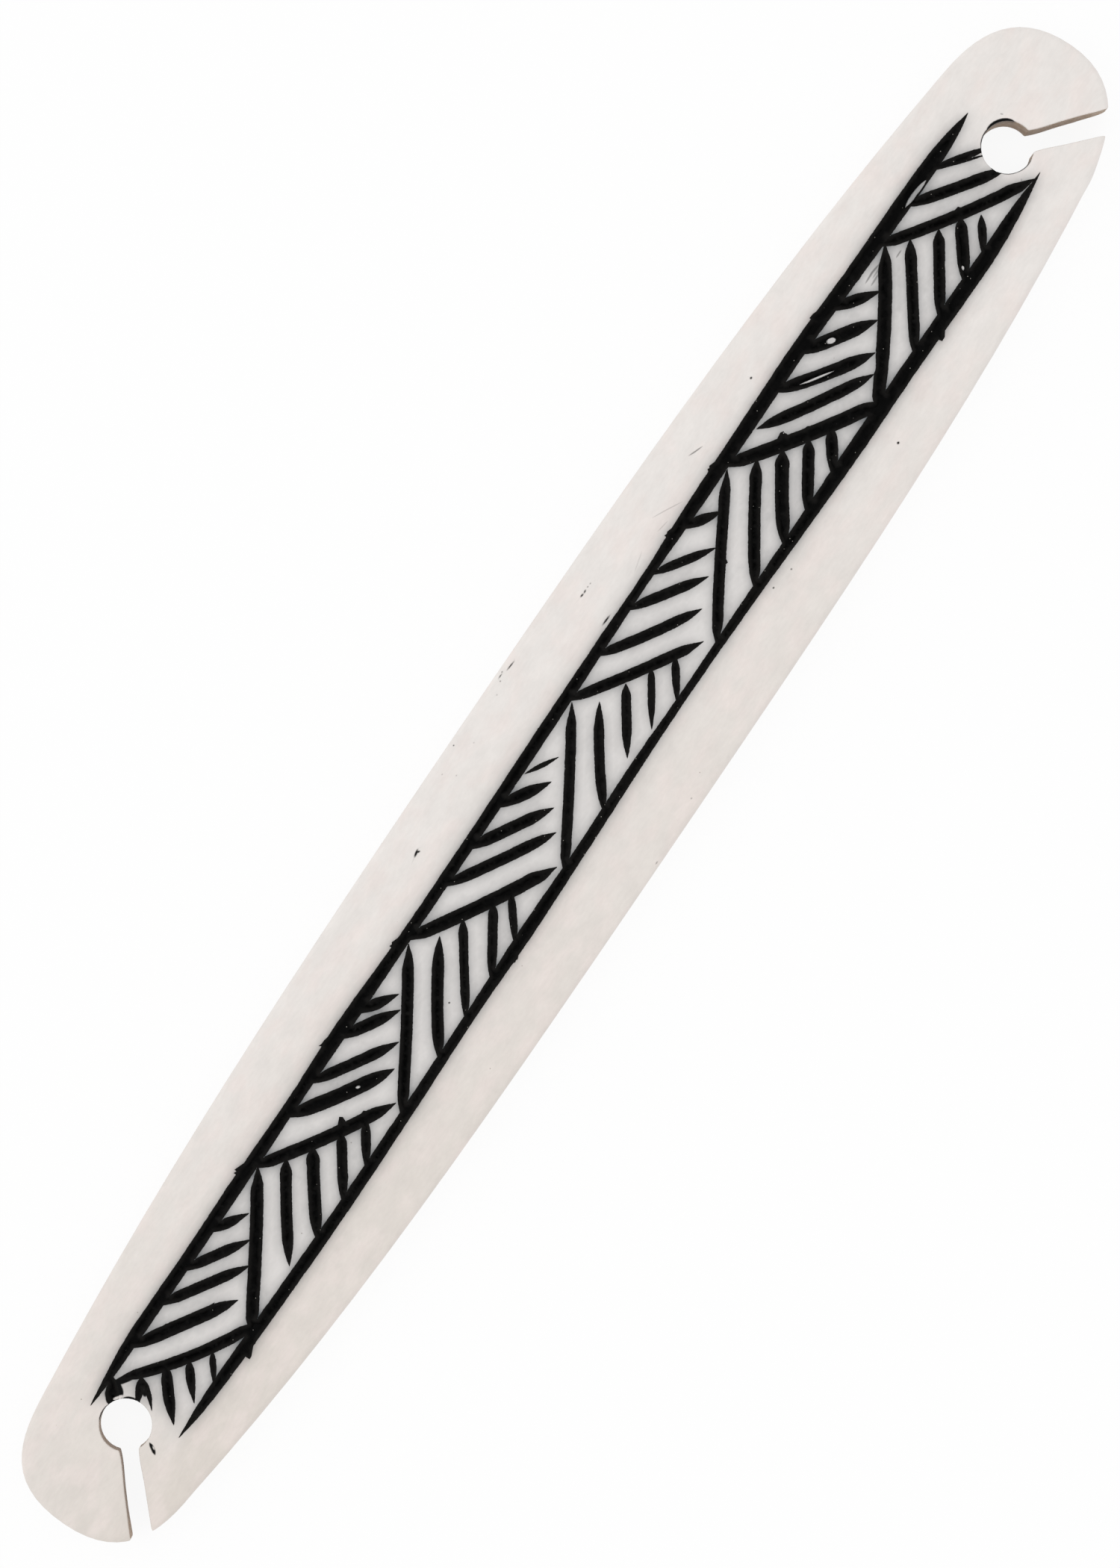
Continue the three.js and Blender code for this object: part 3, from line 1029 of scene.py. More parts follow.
def new_object(name: str, points: Array, faces: Sequence[Sequence[int]]) -> Object:
    """Makes a mesh object from millimetres.

    Args:
        name: The object's name.
        points: One row of x, y and z for each point.
        faces: The points of each face, turning left seen from outside.

    Returns:
        The object, linked to the scene.
    """
    mesh = bpy.data.meshes.new(name)
    mesh.from_pydata((points * MM).tolist(), [], [tuple(int(k) for k in face) for face in faces])
    mesh.update()
    made = bpy.data.objects.new(name, mesh)
    bpy.context.scene.collection.objects.link(made)
    return made


class Paint(Enum):
    """The numbers that the points carry for their finish."""

    INK = "ink"
    # painted shade where the black of the cuts shows through the bone
    THROUGH_SHADE = "through_shade"
    # walls of the eyes and slots, for their tan stain and painted shade
    EYE_WALL = "eye_wall"
    DEPTH = "depth"


def paint(made: Object, which: Paint, values: Array) -> None:
    """Stores one number for each point of an object, for its material to read."""
    attribute = made.data.attributes.new(which.value, "FLOAT", "POINT")
    attribute.data.foreach_set("value", values.astype(np.float32))


# Node trees


class Wire:
    """A socket that carries numbers and is written like a number."""

    def __init__(self, graph: Graph, socket: bpy.types.NodeSocket) -> None:
        """Wraps a socket of a graph."""
        self.graph = graph
        self.socket = socket

    def __add__(self, other: Number) -> Wire:
        """Returns the sum."""
        return self.graph.math("ADD", self, other)

    __radd__ = __add__

    def __sub__(self, other: Number) -> Wire:
        """Returns the difference."""
        return self.graph.math("SUBTRACT", self, other)

    def __rsub__(self, other: Number) -> Wire:
        """Returns the difference the other way round."""
        return self.graph.math("SUBTRACT", other, self)

    def __mul__(self, other: Number) -> Wire:
        """Returns the product."""
        return self.graph.math("MULTIPLY", self, other)

    __rmul__ = __mul__

    def __truediv__(self, other: Number) -> Wire:
        """Returns the quotient."""
        return self.graph.math("DIVIDE", self, other)

    def __abs__(self) -> Wire:
        """Returns the number without its sign."""
        return self.graph.math("ABSOLUTE", self)

    def clamped(self) -> Wire:
        """Returns the number held between 0 and 1."""
        return self.graph.math("MINIMUM", self.graph.math("MAXIMUM", self, 0.0), 1.0)

    def ramp(self, low: float, high: float) -> Wire:
        """Returns 0 at low, 1 at high and a smooth step between them."""
        smooth = {"interpolation_type": "SMOOTHSTEP"}
        inputs = {"Value": self, "From Min": low, "From Max": high}
        return self.graph.wire("ShaderNodeMapRange", "Result", smooth, inputs)


Number = Union[Wire, float]
Colour = tuple[float, float, float, float]
Settings = Union[dict[str, Any], None]
Inputs = Union[dict[Any, Any], None]

SCREEN_GAMMA = 2.2  # how a screen turns numbers into light
WHITE = (1.0, 1.0, 1.0, 1.0)


class Graph:
    """A tree of nodes, for a material or a modifier."""

    def __init__(self, tree: bpy.types.NodeTree) -> None:
        """Starts with an empty tree."""
        self.tree = tree
        tree.nodes.clear()

    def node(self, kind: str, settings: Settings = None, inputs: Inputs = None) -> Any:
        """Adds a node.

        Args:
            kind: The node's type.
            settings: Its properties, which are set first.
            inputs: Values or links by the name or number of their socket.

        Returns:
            The node.
        """
        made = self.tree.nodes.new(kind)
        for name, value in (settings or {}).items():
            setattr(made, name, value)
        for key, value in (inputs or {}).items():
            socket = made.inputs[key]
            if isinstance(value, Wire):
                value = value.socket
            if isinstance(value, bpy.types.NodeSocket):
                self.tree.links.new(value, socket)
            else:
                socket.default_value = value
        return made

    def wire(
        self, kind: str, output: Any, settings: Settings = None, inputs: Inputs = None
    ) -> Wire:
        """Adds a node and returns one of its outputs.

        Args:
            kind: The node's type.
            output: The name or number of the output.
            settings: Its properties, which are set first.
            inputs: Values or links by the name or number of their socket.

        Returns:
            The output, ready for sums.
        """
        return Wire(self, self.node(kind, settings, inputs).outputs[output])

    def math(self, operation: str, *terms: Number) -> Wire:
        """Adds a sum of one or two numbers."""
        return self.wire("ShaderNodeMath", 0, {"operation": operation}, dict(enumerate(terms)))

    def vector(self, operation: str, one: Any, other: Any) -> Wire:
        """Adds a sum of two vectors."""
        terms = {0: one, 1: other}
        return self.wire("ShaderNodeVectorMath", "Vector", {"operation": operation}, terms)

    def blend(self, share: Number, one: Any, other: Any, kind: str = "MIX") -> Wire:
        """Adds a mix of two colours.

        Args:
            share: How much of the other colour there is.
            one: The first colour.
            other: The other colour.
            kind: How they are mixed.

        Returns:
            The mixed colour.
        """
        settings = {"data_type": "RGBA", "blend_type": kind}
        return self.wire("ShaderNodeMix", 2, settings, {0: share, 6: one, 7: other})


def colour(red: float, green: float, blue: float) -> Colour:
    """Returns the light that a colour stands for, given as a screen shows it, from 0 to 255."""
    parts = [(part / 255) ** SCREEN_GAMMA for part in (red, green, blue)]
    return (parts[0], parts[1], parts[2], 1.0)


# Finishes

EVEN = (1.5, 1.5, 1.5)  # round clouds, so many to the millimetre
ROUGH_DETAIL = 4.0  # how many finer layers rough clouds have
CHANCE_EDGE = 0.04  # over how much of the chance a dot fades in


@dataclass(frozen=True)
class Finish:
    """What every finish of the shuttle shares.

    Attributes:
        name: The material's name.
        roughness: How matt it is.
        gloss: How strongly it mirrors.
        relief: How deep its fine relief is, in millimetres.
    """

    name: str
    roughness: float
    gloss: float
    relief: float

    def material(self) -> bpy.types.Material:
        """Builds the material.

        Returns:
            The finished material.
        """
        made = bpy.data.materials.new(self.name)
        made.use_nodes = True
        graph = Graph(made.node_tree)
        place = graph.vector("MULTIPLY", graph.wire("ShaderNodeTexCoord", "Object"), (1 / MM,) * 3)
        tone, shine, height = self.layers(graph, place)
        relief = {"Strength": 1.0, "Distance": self.relief * MM, "Height": height}
        inputs = {
            "Base Color": tone,
            "Roughness": shine,
            "Normal": graph.wire("ShaderNodeBump", "Normal", None, relief),
            "Specular IOR Level": self.gloss,
        }
        surface = graph.node("ShaderNodeBsdfPrincipled", None, inputs)
        graph.node("ShaderNodeOutputMaterial", None, {"Surface": surface.outputs[0]})
        return made

    def layers(self, graph: Graph, place: Wire) -> tuple[Wire, Wire, Wire]:
        """Builds what varies over the surface.

        Args:
            graph: The material's tree.
            place: The place on the object in millimetres.

        Returns:
            The colour, the roughness and the height of the relief.
        """
        raise NotImplementedError

    @staticmethod
    def cloud(graph: Graph, place: Wire, scale: Triple, detail: float = 3.0) -> Wire:
        """Returns clouds round 0.5, with so many of them to the millimetre along each axis."""
        inputs = {"Vector": graph.vector("MULTIPLY", place, scale), "Scale": 1.0, "Detail": detail}
        return graph.wire("ShaderNodeTexNoise", 0, None, inputs)

    @staticmethod
    def dots(graph: Graph, place: Wire, scale: float, size: float, share: float) -> Wire:
        """Returns scattered round dots.

        Args:
            graph: The material's tree.
            place: The place on the object in millimetres.
            scale: How many cells there are to the millimetre.
            size: The radius of a dot in millimetres.
            share: How many of the cells have a dot.

        Returns:
            1 on a dot and 0 beside it.
        """
        inputs = {"Vector": place, "Scale": scale}
        cells = graph.node("ShaderNodeTexVoronoi", {"feature": "F1"}, inputs)
        dot = 1 - Wire(graph, cells.outputs["Distance"]).ramp(size * scale * 0.5, size * scale)
        chance = graph.wire("ShaderNodeSeparateColor", 0, None, {0: cells.outputs["Color"]})
        return dot * chance.ramp(1 - share, 1 - share + CHANCE_EDGE)

    @staticmethod
    def painted(graph: Graph, which: Paint) -> Wire:
        """Returns a number that the points carry."""
        return graph.wire("ShaderNodeAttribute", "Fac", {"attribute_name": which.value})


@dataclass(frozen=True)
class BoneFinish(Finish):
    """Polished bone: warm white, darker by painted shade where the black of the cuts shows through.

    Attributes:
        pale: The bone at its palest.
        beige: The bone towards end B and the lower side, and its grain.
        blush: The bone in its pinkish clouds.
        band_grey: The greyer bone of the band.
        through_shade: The painted shade that the bone near the black is drawn towards.
        ink: The black on the face.
        wall_tan_and_shade: The walls of the eyes and slots: their own tan stain with painted shade
            inside the holes.
        pore: The small dots.
        streaks: The grain, as clouds to the millimetre along each axis.
        fine: The finer relief, in the same way.
        through_shade_clouds: The unevenness of the painted shade near the black.
        mottle: How much the tone changes from place to place.
        grain: How much it changes from streak to streak.
    """

    name: str = "polished_bone"
    roughness: float = 0.5
    gloss: float = 0.1
    relief: float = 0.012
    pale: Colour = colour(234, 229, 225)
    beige: Colour = colour(220, 212, 204)
    blush: Colour = colour(237, 225, 220)
    band_grey: Colour = colour(230, 227, 225)
    # dark cool grey of the painted shade where the black shows through the bone
    through_shade: Colour = colour(2, 40, 52)
    ink: Colour = colour(7, 7, 7)
    # tan of the walls, partly their own stain and partly painted shade inside the holes
    wall_tan_and_shade: Colour = colour(165, 141, 118)
    pore: Colour = colour(150, 138, 128)
    streaks: Triple = (0.35, 4.0, 4.0)
    fine: Triple = (7.0, 9.0, 9.0)
    through_shade_clouds: Triple = (2.0, 2.6, 2.6)
    mottle: float = 0.14
    grain: float = 0.1

    def layers(self, graph: Graph, place: Wire) -> tuple[Wire, Wire, Wire]:
        """Builds what varies over the bone.

        Args:
            graph: The material's tree.
            place: The place on the object in millimetres.

        Returns:
            The colour, the roughness and the height of the relief.
        """
        grain = self.cloud(graph, place, self.streaks, ROUGH_DETAIL)
        fine = self.cloud(graph, place, self.fine)
        tone = self._ground(graph, place)
        tone = graph.blend(grain.ramp(0.45, 0.8) * 0.07, tone, self.beige)
        tone = graph.blend(self.dots(graph, place, 0.7, 0.07, 0.16) * 0.7, tone, self.pore)
        # Painted shade: the bone darkens towards a dark grey where the black of the cuts shows
        # through it.
        through_shade = self.painted(graph, Paint.THROUGH_SHADE)
        patches = self.cloud(graph, place, self.through_shade_clouds, ROUGH_DETAIL)
        tone = graph.blend((through_shade * (0.85 + patches * 0.3)).clamped(), tone, self.through_shade)
        # The walls of the eyes and slots: partly the bone's own tan stain, partly painted shade
        # inside the holes.
        worn = self.cloud(graph, place, EVEN, ROUGH_DETAIL)
        wall = self.painted(graph, Paint.EYE_WALL) * (0.6 + worn * 0.7).clamped()
        tone = graph.blend(wall, tone, self.wall_tan_and_shade)
        tone = graph.blend(self.painted(graph, Paint.INK), tone, self.ink)
        return tone, self.roughness + (grain - 0.5) * 0.2, grain + fine * 0.5

    def _ground(self, graph: Graph, place: Wire) -> Wire:
        """Colours the clear bone, which is greyer in the band.

        Args:
            graph: The material's tree.
            place: The place on the object in millimetres.

        Returns:
            The colour.
        """
        axes = graph.node("ShaderNodeSeparateXYZ", None, {0: place})
        along, across = Wire(graph, axes.outputs[0]), Wire(graph, axes.outputs[1])
        drift = self.cloud(graph, place, (0.06, 0.15, 0.15))
        yellowed = (drift * 0.5 - 0.05 - along / 130 - across / 30).clamped()
        tone = graph.blend(yellowed, self.pale, self.beige)
        mottled = self.cloud(graph, place, (0.35, 0.6, 0.6))
        tone = graph.blend(mottled.ramp(0.4, 0.7) * 0.5, tone, self.blush)
        in_band = 1 - abs(across).ramp(3.4, 4.8)
        tone = graph.blend(in_band * (1 - abs(along).ramp(58, 66)) * 0.8, tone, self.band_grey)
        shade = 1 + (self.cloud(graph, place, (0.5, 0.9, 0.9)) - 0.5) * self.mottle
        shade = shade + (self.cloud(graph, place, (1.6, 4.0, 4.0)) - 0.5) * self.grain
        return graph.blend(1.0, tone, shade, "MULTIPLY")


@dataclass(frozen=True)
class PigmentFinish(Finish):
    """Black rubbed into a cut: deep and nearly matt, with a few pale specks and a painted sheen and
    shade.

    Attributes:
        slope: The black near the rims, lighter with painted sheen.
        deep: The black at the bottom of the hollow, darker with painted shade.
        speck: The specks of dust.
        fine: The relief, as clouds to the millimetre along each axis.
        hollow_depth: How far from a rim the black takes its full painted shade, in millimetres.
    """

    name: str = "rubbed_in_black"
    roughness: float = 0.55
    gloss: float = 0.06
    relief: float = 0.02
    # painted sheen near the rims and painted shade deep in the hollow
    slope: Colour = colour(28, 27, 26)
    deep: Colour = colour(3, 3, 3)
    speck: Colour = colour(170, 165, 158)
    fine: Triple = (6.0, 6.0, 6.0)
    hollow_depth: float = 0.5

    def layers(self, graph: Graph, place: Wire) -> tuple[Wire, Wire, Wire]:
        """Builds what varies over the black.

        Args:
            graph: The material's tree.
            place: The place on the object in millimetres.

        Returns:
            The colour, the roughness and the height of the relief.
        """
        patches = self.cloud(graph, place, EVEN, ROUGH_DETAIL)
        fine = self.cloud(graph, place, self.fine)
        depth = self.painted(graph, Paint.DEPTH) / MM
        # Painted sheen and shade: the black is lighter near the rims and darker deep in the hollow.
        hollow = (depth / self.hollow_depth + (patches - 0.5) * 0.9).ramp(0.2, 1.0)
        tone = graph.blend(hollow, self.slope, self.deep)
        tone = graph.blend(self.dots(graph, place, 1.8, 0.05, 0.4) * 0.8, tone, self.speck)
        return tone, self.roughness + (patches - 0.5) * 0.4, fine


# The blade


@dataclass
class Blade:
    """The carved blade: rounded edges, walled eyes and slots, and a groove for every stroke.

    Attributes:
        plan: The outline and the rims.
        chips: Places where bone shows through the black.
        marks: Specks, dashes and lines of ink on the face.
        edge_round: The radius of the outer edges.
        eye_round: The radius of the eyes' and slots' edges.
        eye_lean: How far the walls of the eyes and slots lean along the blade on the way down.
        lean_reach: How far from a slot's mouth the lean is whole.
        rim_width: How wide the worn rim of a cut is.
        rim_drop: How far the rim is worn down.
        rim_curve: How fast the wear fades away from the rim.
        wall_run: How far a groove's wall runs inwards on its way to the floor.
        wall_sift: How uneven the foot of that wall may be, as a share of its run.
        wave: How uneven the face is.
        wave_grain: How far apart its waves are.
        chip_sink: How far below the face a chip's top is.
        chip_edge: How wide a chip's slope is.
        ink_edge: How softly ink ends.
        wall_ink: How much of the face's ink the top of a wall takes.
        bareness: How much paler a chip is than the bone beside it, taking less of the painted
            shade.
        clear: How far points keep from the outline and the rims.
        face_step: How far apart the points of the plain face are.
        face_drift: How far such a point may drift, as a share of the step.
        foot_points: How many points there are round each corner of a rim.
        foot_reach: How far from the corner they are, as a multiple of wall_run.
        mark_step: How far apart the points of a mark are.
        mark_margin: How far round a mark its fine points go.
        wall_levels: Where the walls have points, as shares of the way down.
        edge_rows: Where rows of points follow the outer edge, negative inside.
        eye_rows: The same for the eyes and slots.
        rim_rows: The same for the rims, outside the cuts.
        sharp_angle: Edges that turn more than this are sharp, in degrees.
    """

    plan: Plan
    chips: Sequence[Spot]
    marks: Sequence[Mark]
    edge_round: float = 0.5
    eye_round: float = 0.12
    eye_lean: float = -0.17
    lean_reach: float = 2.5
    rim_width: float = 0.07
    rim_drop: float = 0.03
    rim_curve: float = 1.5
    wall_run: float = 0.03
    wall_sift: float = 0.6
    wave: float = 0.012
    wave_grain: float = 14.0
    chip_sink: float = 0.07
    chip_edge: float = 0.06
    ink_edge: float = 0.07
    wall_ink: float = 0.9
    bareness: float = 0.62
    clear: float = 0.012
    face_step: float = 1.0
    face_drift: float = 0.3
    foot_points: int = 12
    foot_reach: float = 1.5
    mark_step: float = 0.042
    mark_margin: float = 0.07
    wall_levels: tuple[float, ...] = (0.05, 0.3, 0.6, 0.95)
    edge_rows: tuple[float, ...] = (-0.03, -0.1, -0.2, -0.34, -0.52)
    eye_rows: tuple[float, ...] = (-0.02, -0.05, -0.09, -0.13, -0.3)
    rim_rows: tuple[float, ...] = (-0.16, -0.32, -0.7)
    sharp_angle: float = 38.0

    def build(self) -> Object:
        """Builds the blade as one closed mesh.

        Returns:
            The blade's object.
        """
        face = self._inner(self._top_net(), self.plan.to_outline)
        flat, faces = face.points, face.faces
        in_cut = face.right_of(self.plan.to_rims, REACH_OF_SAY)
        into = self._into_cuts(face, in_cut)
        top = self._top_height(flat, into)
        rim = np.array(next(loops(self._boundary(faces))))
        is_eye, lean = self._lean(flat[rim])
        edge = Line(flat[rim] + lean)
        edges = Nearness([edge])
        back = self._inner(self._back_net(edge, edges), edges)
        order = self._match(edge.points, back.points)
        outer, eyes = Nearness(edge.runs(~is_eye)), Nearness(edge.runs(is_eye))
        wall_foot = self.plan.thickness - self._edge_height(back.points, outer, eyes)
        columns, points = [rim], [np.column_stack([flat, top])]
        start = len(flat)
        for level in self.wall_levels:
            height = top[rim] + (wall_foot[order] - top[rim]) * level
            points.append(np.column_stack([flat[rim] + lean * level, height]))
            columns.append(start + np.arange(len(rim)))
            start += len(rim)
        points.append(np.column_stack([back.points, wall_foot]))
        columns.append(start + order)
        rings = zip(columns, columns[1:])
        walls = [quad for upper, lower in rings for quad in self._strip(upper, lower)]
        solid = [*faces.tolist(), *(start + back.faces[:, ::-1]).tolist(), *walls]
        blade = new_object("carved_blade", np.concatenate(points), solid)
        self._paint(blade, flat, ThroughShade(face.kept(in_cut)), rim, is_eye)
        return blade

    def dress(self, blade: Object, finish: BoneFinish) -> None:
        """Gives the blade its finish and its place in the frame.

        Args:
            blade: The blade's object.
            finish: What it is made of.
        """
        blade.data.materials.append(finish.material())
        blade.data.shade_smooth()
        blade.data.set_sharp_from_angle(angle=math.radians(self.sharp_angle))
        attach(blade, BODY)
        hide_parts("blade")

    def _top_net(self) -> Net:
        """Draws the face: the outline, the rims, rows beside both, and a loose field.

        Returns:
            The net of the face.
        """
        plan = self.plan
        rows = [
            beside(plan.outer, plan.to_outline, self.edge_rows),
            beside(plan.eyes, plan.to_outline, self.eye_rows),
            beside(plan.rims, plan.to_rims, [self.wall_run], self.wall_sift),
            beside(plan.rims, plan.to_rims, [-self.rim_width, *self.rim_rows]),
            self._corner_feet(),
            self._field(),
        ]
        for mark in [*self.chips, *self.marks]:
            rows.append(fine_net(mark, self.mark_margin, self.mark_step))
        net = plan.net()
        net.scatter(self._inside(np.concatenate(rows)))
        return net

    def _corner_feet(self) -> Array:
        """Sets points round the corners of the rims, where the foot of the wall turns.

        Returns:
            The points.
        """
        plan = self.plan
        corners = np.concatenate([rim.points[rim.corners(plan.SHARP)] for rim in plan.rims])
        turns = np.arange(self.foot_points) * math.tau / self.foot_points
        ring = np.stack([np.cos(turns), np.sin(turns)], axis=1)
        points = (corners[:, None] + self.foot_reach * self.wall_run * ring).reshape(-1, 2)
        far = np.abs(plan.to_rims.measure(points)) > self.wall_run
        return thinned(points[far], self.wall_run / 2)

    def _field(self) -> Array:
        """Sets a loose field of points over the whole blade.

        Returns:
            The points, none of them on a rim.
        """
        low, high = self.plan.outline.points.min(axis=0), self.plan.outline.points.max(axis=0)
        ticks = [np.arange(low[k], high[k], self.face_step) for k in range(2)]
        grid = np.stack(np.meshgrid(*ticks), axis=-1).reshape(-1, 2)
        rng = np.random.default_rng(Plan.SEED)
        grid += rng.uniform(-self.face_drift, self.face_drift, grid.shape) * self.face_step
        return grid[np.abs(self.plan.to_rims.measure(grid)) > self.face_step / 3]

    def _inside(self, points: Array) -> Array:
        """Returns the points that are well inside the outline and off the rims."""
        points = points[self.plan.to_outline.measure(points) < -self.clear]
        return points[np.abs(self.plan.to_rims.measure(points)) > self.clear]

    def _lean(self, rim: Array) -> tuple[Array, Array]:
        """Finds the walls that lean.

        Args:
            rim: The points of the outline.

        Returns:
            True for each point on an eye or a slot, and how far each point moves on the way
            to the back.
        """
        from_outer = np.abs(self.plan.to_outer.measure(rim))
        is_eye = np.abs(self.plan.to_eyes.measure(rim)) < from_outer
        share = np.where(is_eye, np.minimum(from_outer / self.lean_reach, 1), 0)
        return is_eye, np.column_stack([self.eye_lean * share, np.zeros(len(rim))])

    def _back_net(self, edge: Line, edges: Nearness) -> Net:
        """Draws the plain back.

        Args:
            edge: Its edge.
            edges: Measures from that edge.

        Returns:
            The net of the back.
        """
        net = Net()
        net.draw(edge)
        points = np.concatenate([beside([edge], edges, self.edge_rows), self._field()])
        net.scatter(points[edges.measure(points) < -self.clear])
        return net

    @staticmethod
    def _inner(net: Net, outline: Nearness) -> Tiling:
        """Joins a net and keeps what lies inside the outline."""
        tiling = net.joined()
        return tiling.kept(~tiling.right_of(outline, REACH_OF_SAY))

    def _into_cuts(self, face: Tiling, in_cut: Array) -> Array:
        """Measures the points of the face from the nearest rim.

        Args:
            face: The triangles of the face.
            in_cut: True for each of them that is in a cut.

        Returns:
            One distance for each point, positive in a cut.
        """
        away = np.abs(self.plan.to_rims.measure(face.points))
        deep = np.ones(len(face.points), dtype=bool)
        deep[face.faces[~in_cut]] = False
        return np.where(deep, away, -away)

    @staticmethod
    def _boundary(faces: Array) -> dict[int, int]:
        """Returns what follows each point on the outer edge of some triangles."""
        edges = {(int(a), int(b)) for face in faces for a, b in zip(face, np.roll(face, -1))}
        return {a: b for a, b in edges if (b, a) not in edges}

    @staticmethod
    def _match(rim: Array, foot: Array) -> Array:
        """Returns the index in the foot of each point of the rim."""
        return found_in(search_tree(foot), rim)

    @staticmethod
    def _strip(upper: Array, lower: Array) -> Iterator[list[int]]:
        """Yields the faces of a wall between two rings that turn left."""
        for a, b, c, d in zip(upper, lower, np.roll(lower, -1), np.roll(upper, -1)):
            yield [int(a), int(b), int(c), int(d)]

    def _edge_height(self, points: Array, outer: Nearness, eyes: Nearness) -> Array:
        """Returns the height of the uncut face, with its rounded edges.

        Args:
            points: The points of the face.
            outer: Measures from the outer edge.
            eyes: Measures from the edges of the eyes and slots.

        Returns:
            One height for each point.
        """
        height = np.full(len(points), self.plan.thickness)
        for nearness, radius in ((outer, self.edge_round), (eyes, self.eye_round)):
            gap = radius - np.minimum(np.abs(nearness.measure(points)), radius)
            rise = np.sqrt(np.maximum(radius**2 - gap**2, 0))
            height = np.minimum(height, self.plan.thickness - radius + rise)
        return height

    def _top_height(self, points: Array, into: Array) -> Array:
        """Returns the height of the carved face.

        Args:
            points: The points of the face.
            into: How far each of them is from the nearest rim, positive in a cut.

        Returns:
            One height for each point.
        """
        plan = self.plan
        worn = self.rim_drop * np.clip(1 + into / self.rim_width, 0, 1) ** self.rim_curve
        uneven = self.wave * (1 + ripple(points, self.wave_grain, Plan.SEED)) / 2
        edge = self._edge_height(points, plan.to_outer, plan.to_eyes)
        height = np.minimum(edge, plan.thickness - uneven) - worn
        wall = np.clip(into / self.wall_run, 0, 1)
        height = np.where(into > 0, height + (plan.floor - height) * wall, height)
        for chip in self.chips:
            stand = cover(chip, points, self.chip_edge) / chip.strength
            raised = plan.floor + (plan.thickness - self.chip_sink - plan.floor) * stand
            height = np.where(into > 0, np.maximum(height, raised), height)
        return height

    def _paint(self, blade: Object, flat: Array, through_shade_map: ThroughShade, rim: Array, is_eye: Array) -> None:
        """Stores what the finish reads at each point.

        Args:
            blade: The blade's object.
            flat: The points of the face.
            through_shade_map: How much of the black shows through, for the painted shade.
            rim: The points of the face that lie on the outline, in order.
            is_eye: True for each of those that is on an eye.
        """
        bare, inked = (
            np.max([cover(mark, flat, self.ink_edge) for mark in marks], axis=0)
            for marks in (self.chips, self.marks)
        )
        ink = inked * (1 - bare)
        fades = np.linspace(self.wall_ink, 0, len(self.wall_levels))[:, None]
        walls = np.ones(fades.shape) * is_eye
        for which, on_face, on_walls in (
            (Paint.INK, ink, fades**3 * ink[rim]),
            # painted shade where the black shows through the bone, less on chips, none on the walls
            (Paint.THROUGH_SHADE, through_shade_map.at(flat) * (1 - self.bareness * bare), walls * 0),
            # tan walls of the eyes and slots, partly painted shade inside the holes
            (Paint.EYE_WALL, np.zeros(len(flat)), walls),
        ):
            painted = np.zeros(len(blade.data.vertices))
            painted[: len(flat) + walls.size] = np.concatenate([on_face, on_walls.ravel()])
            paint(blade, which, painted)


# The fillings


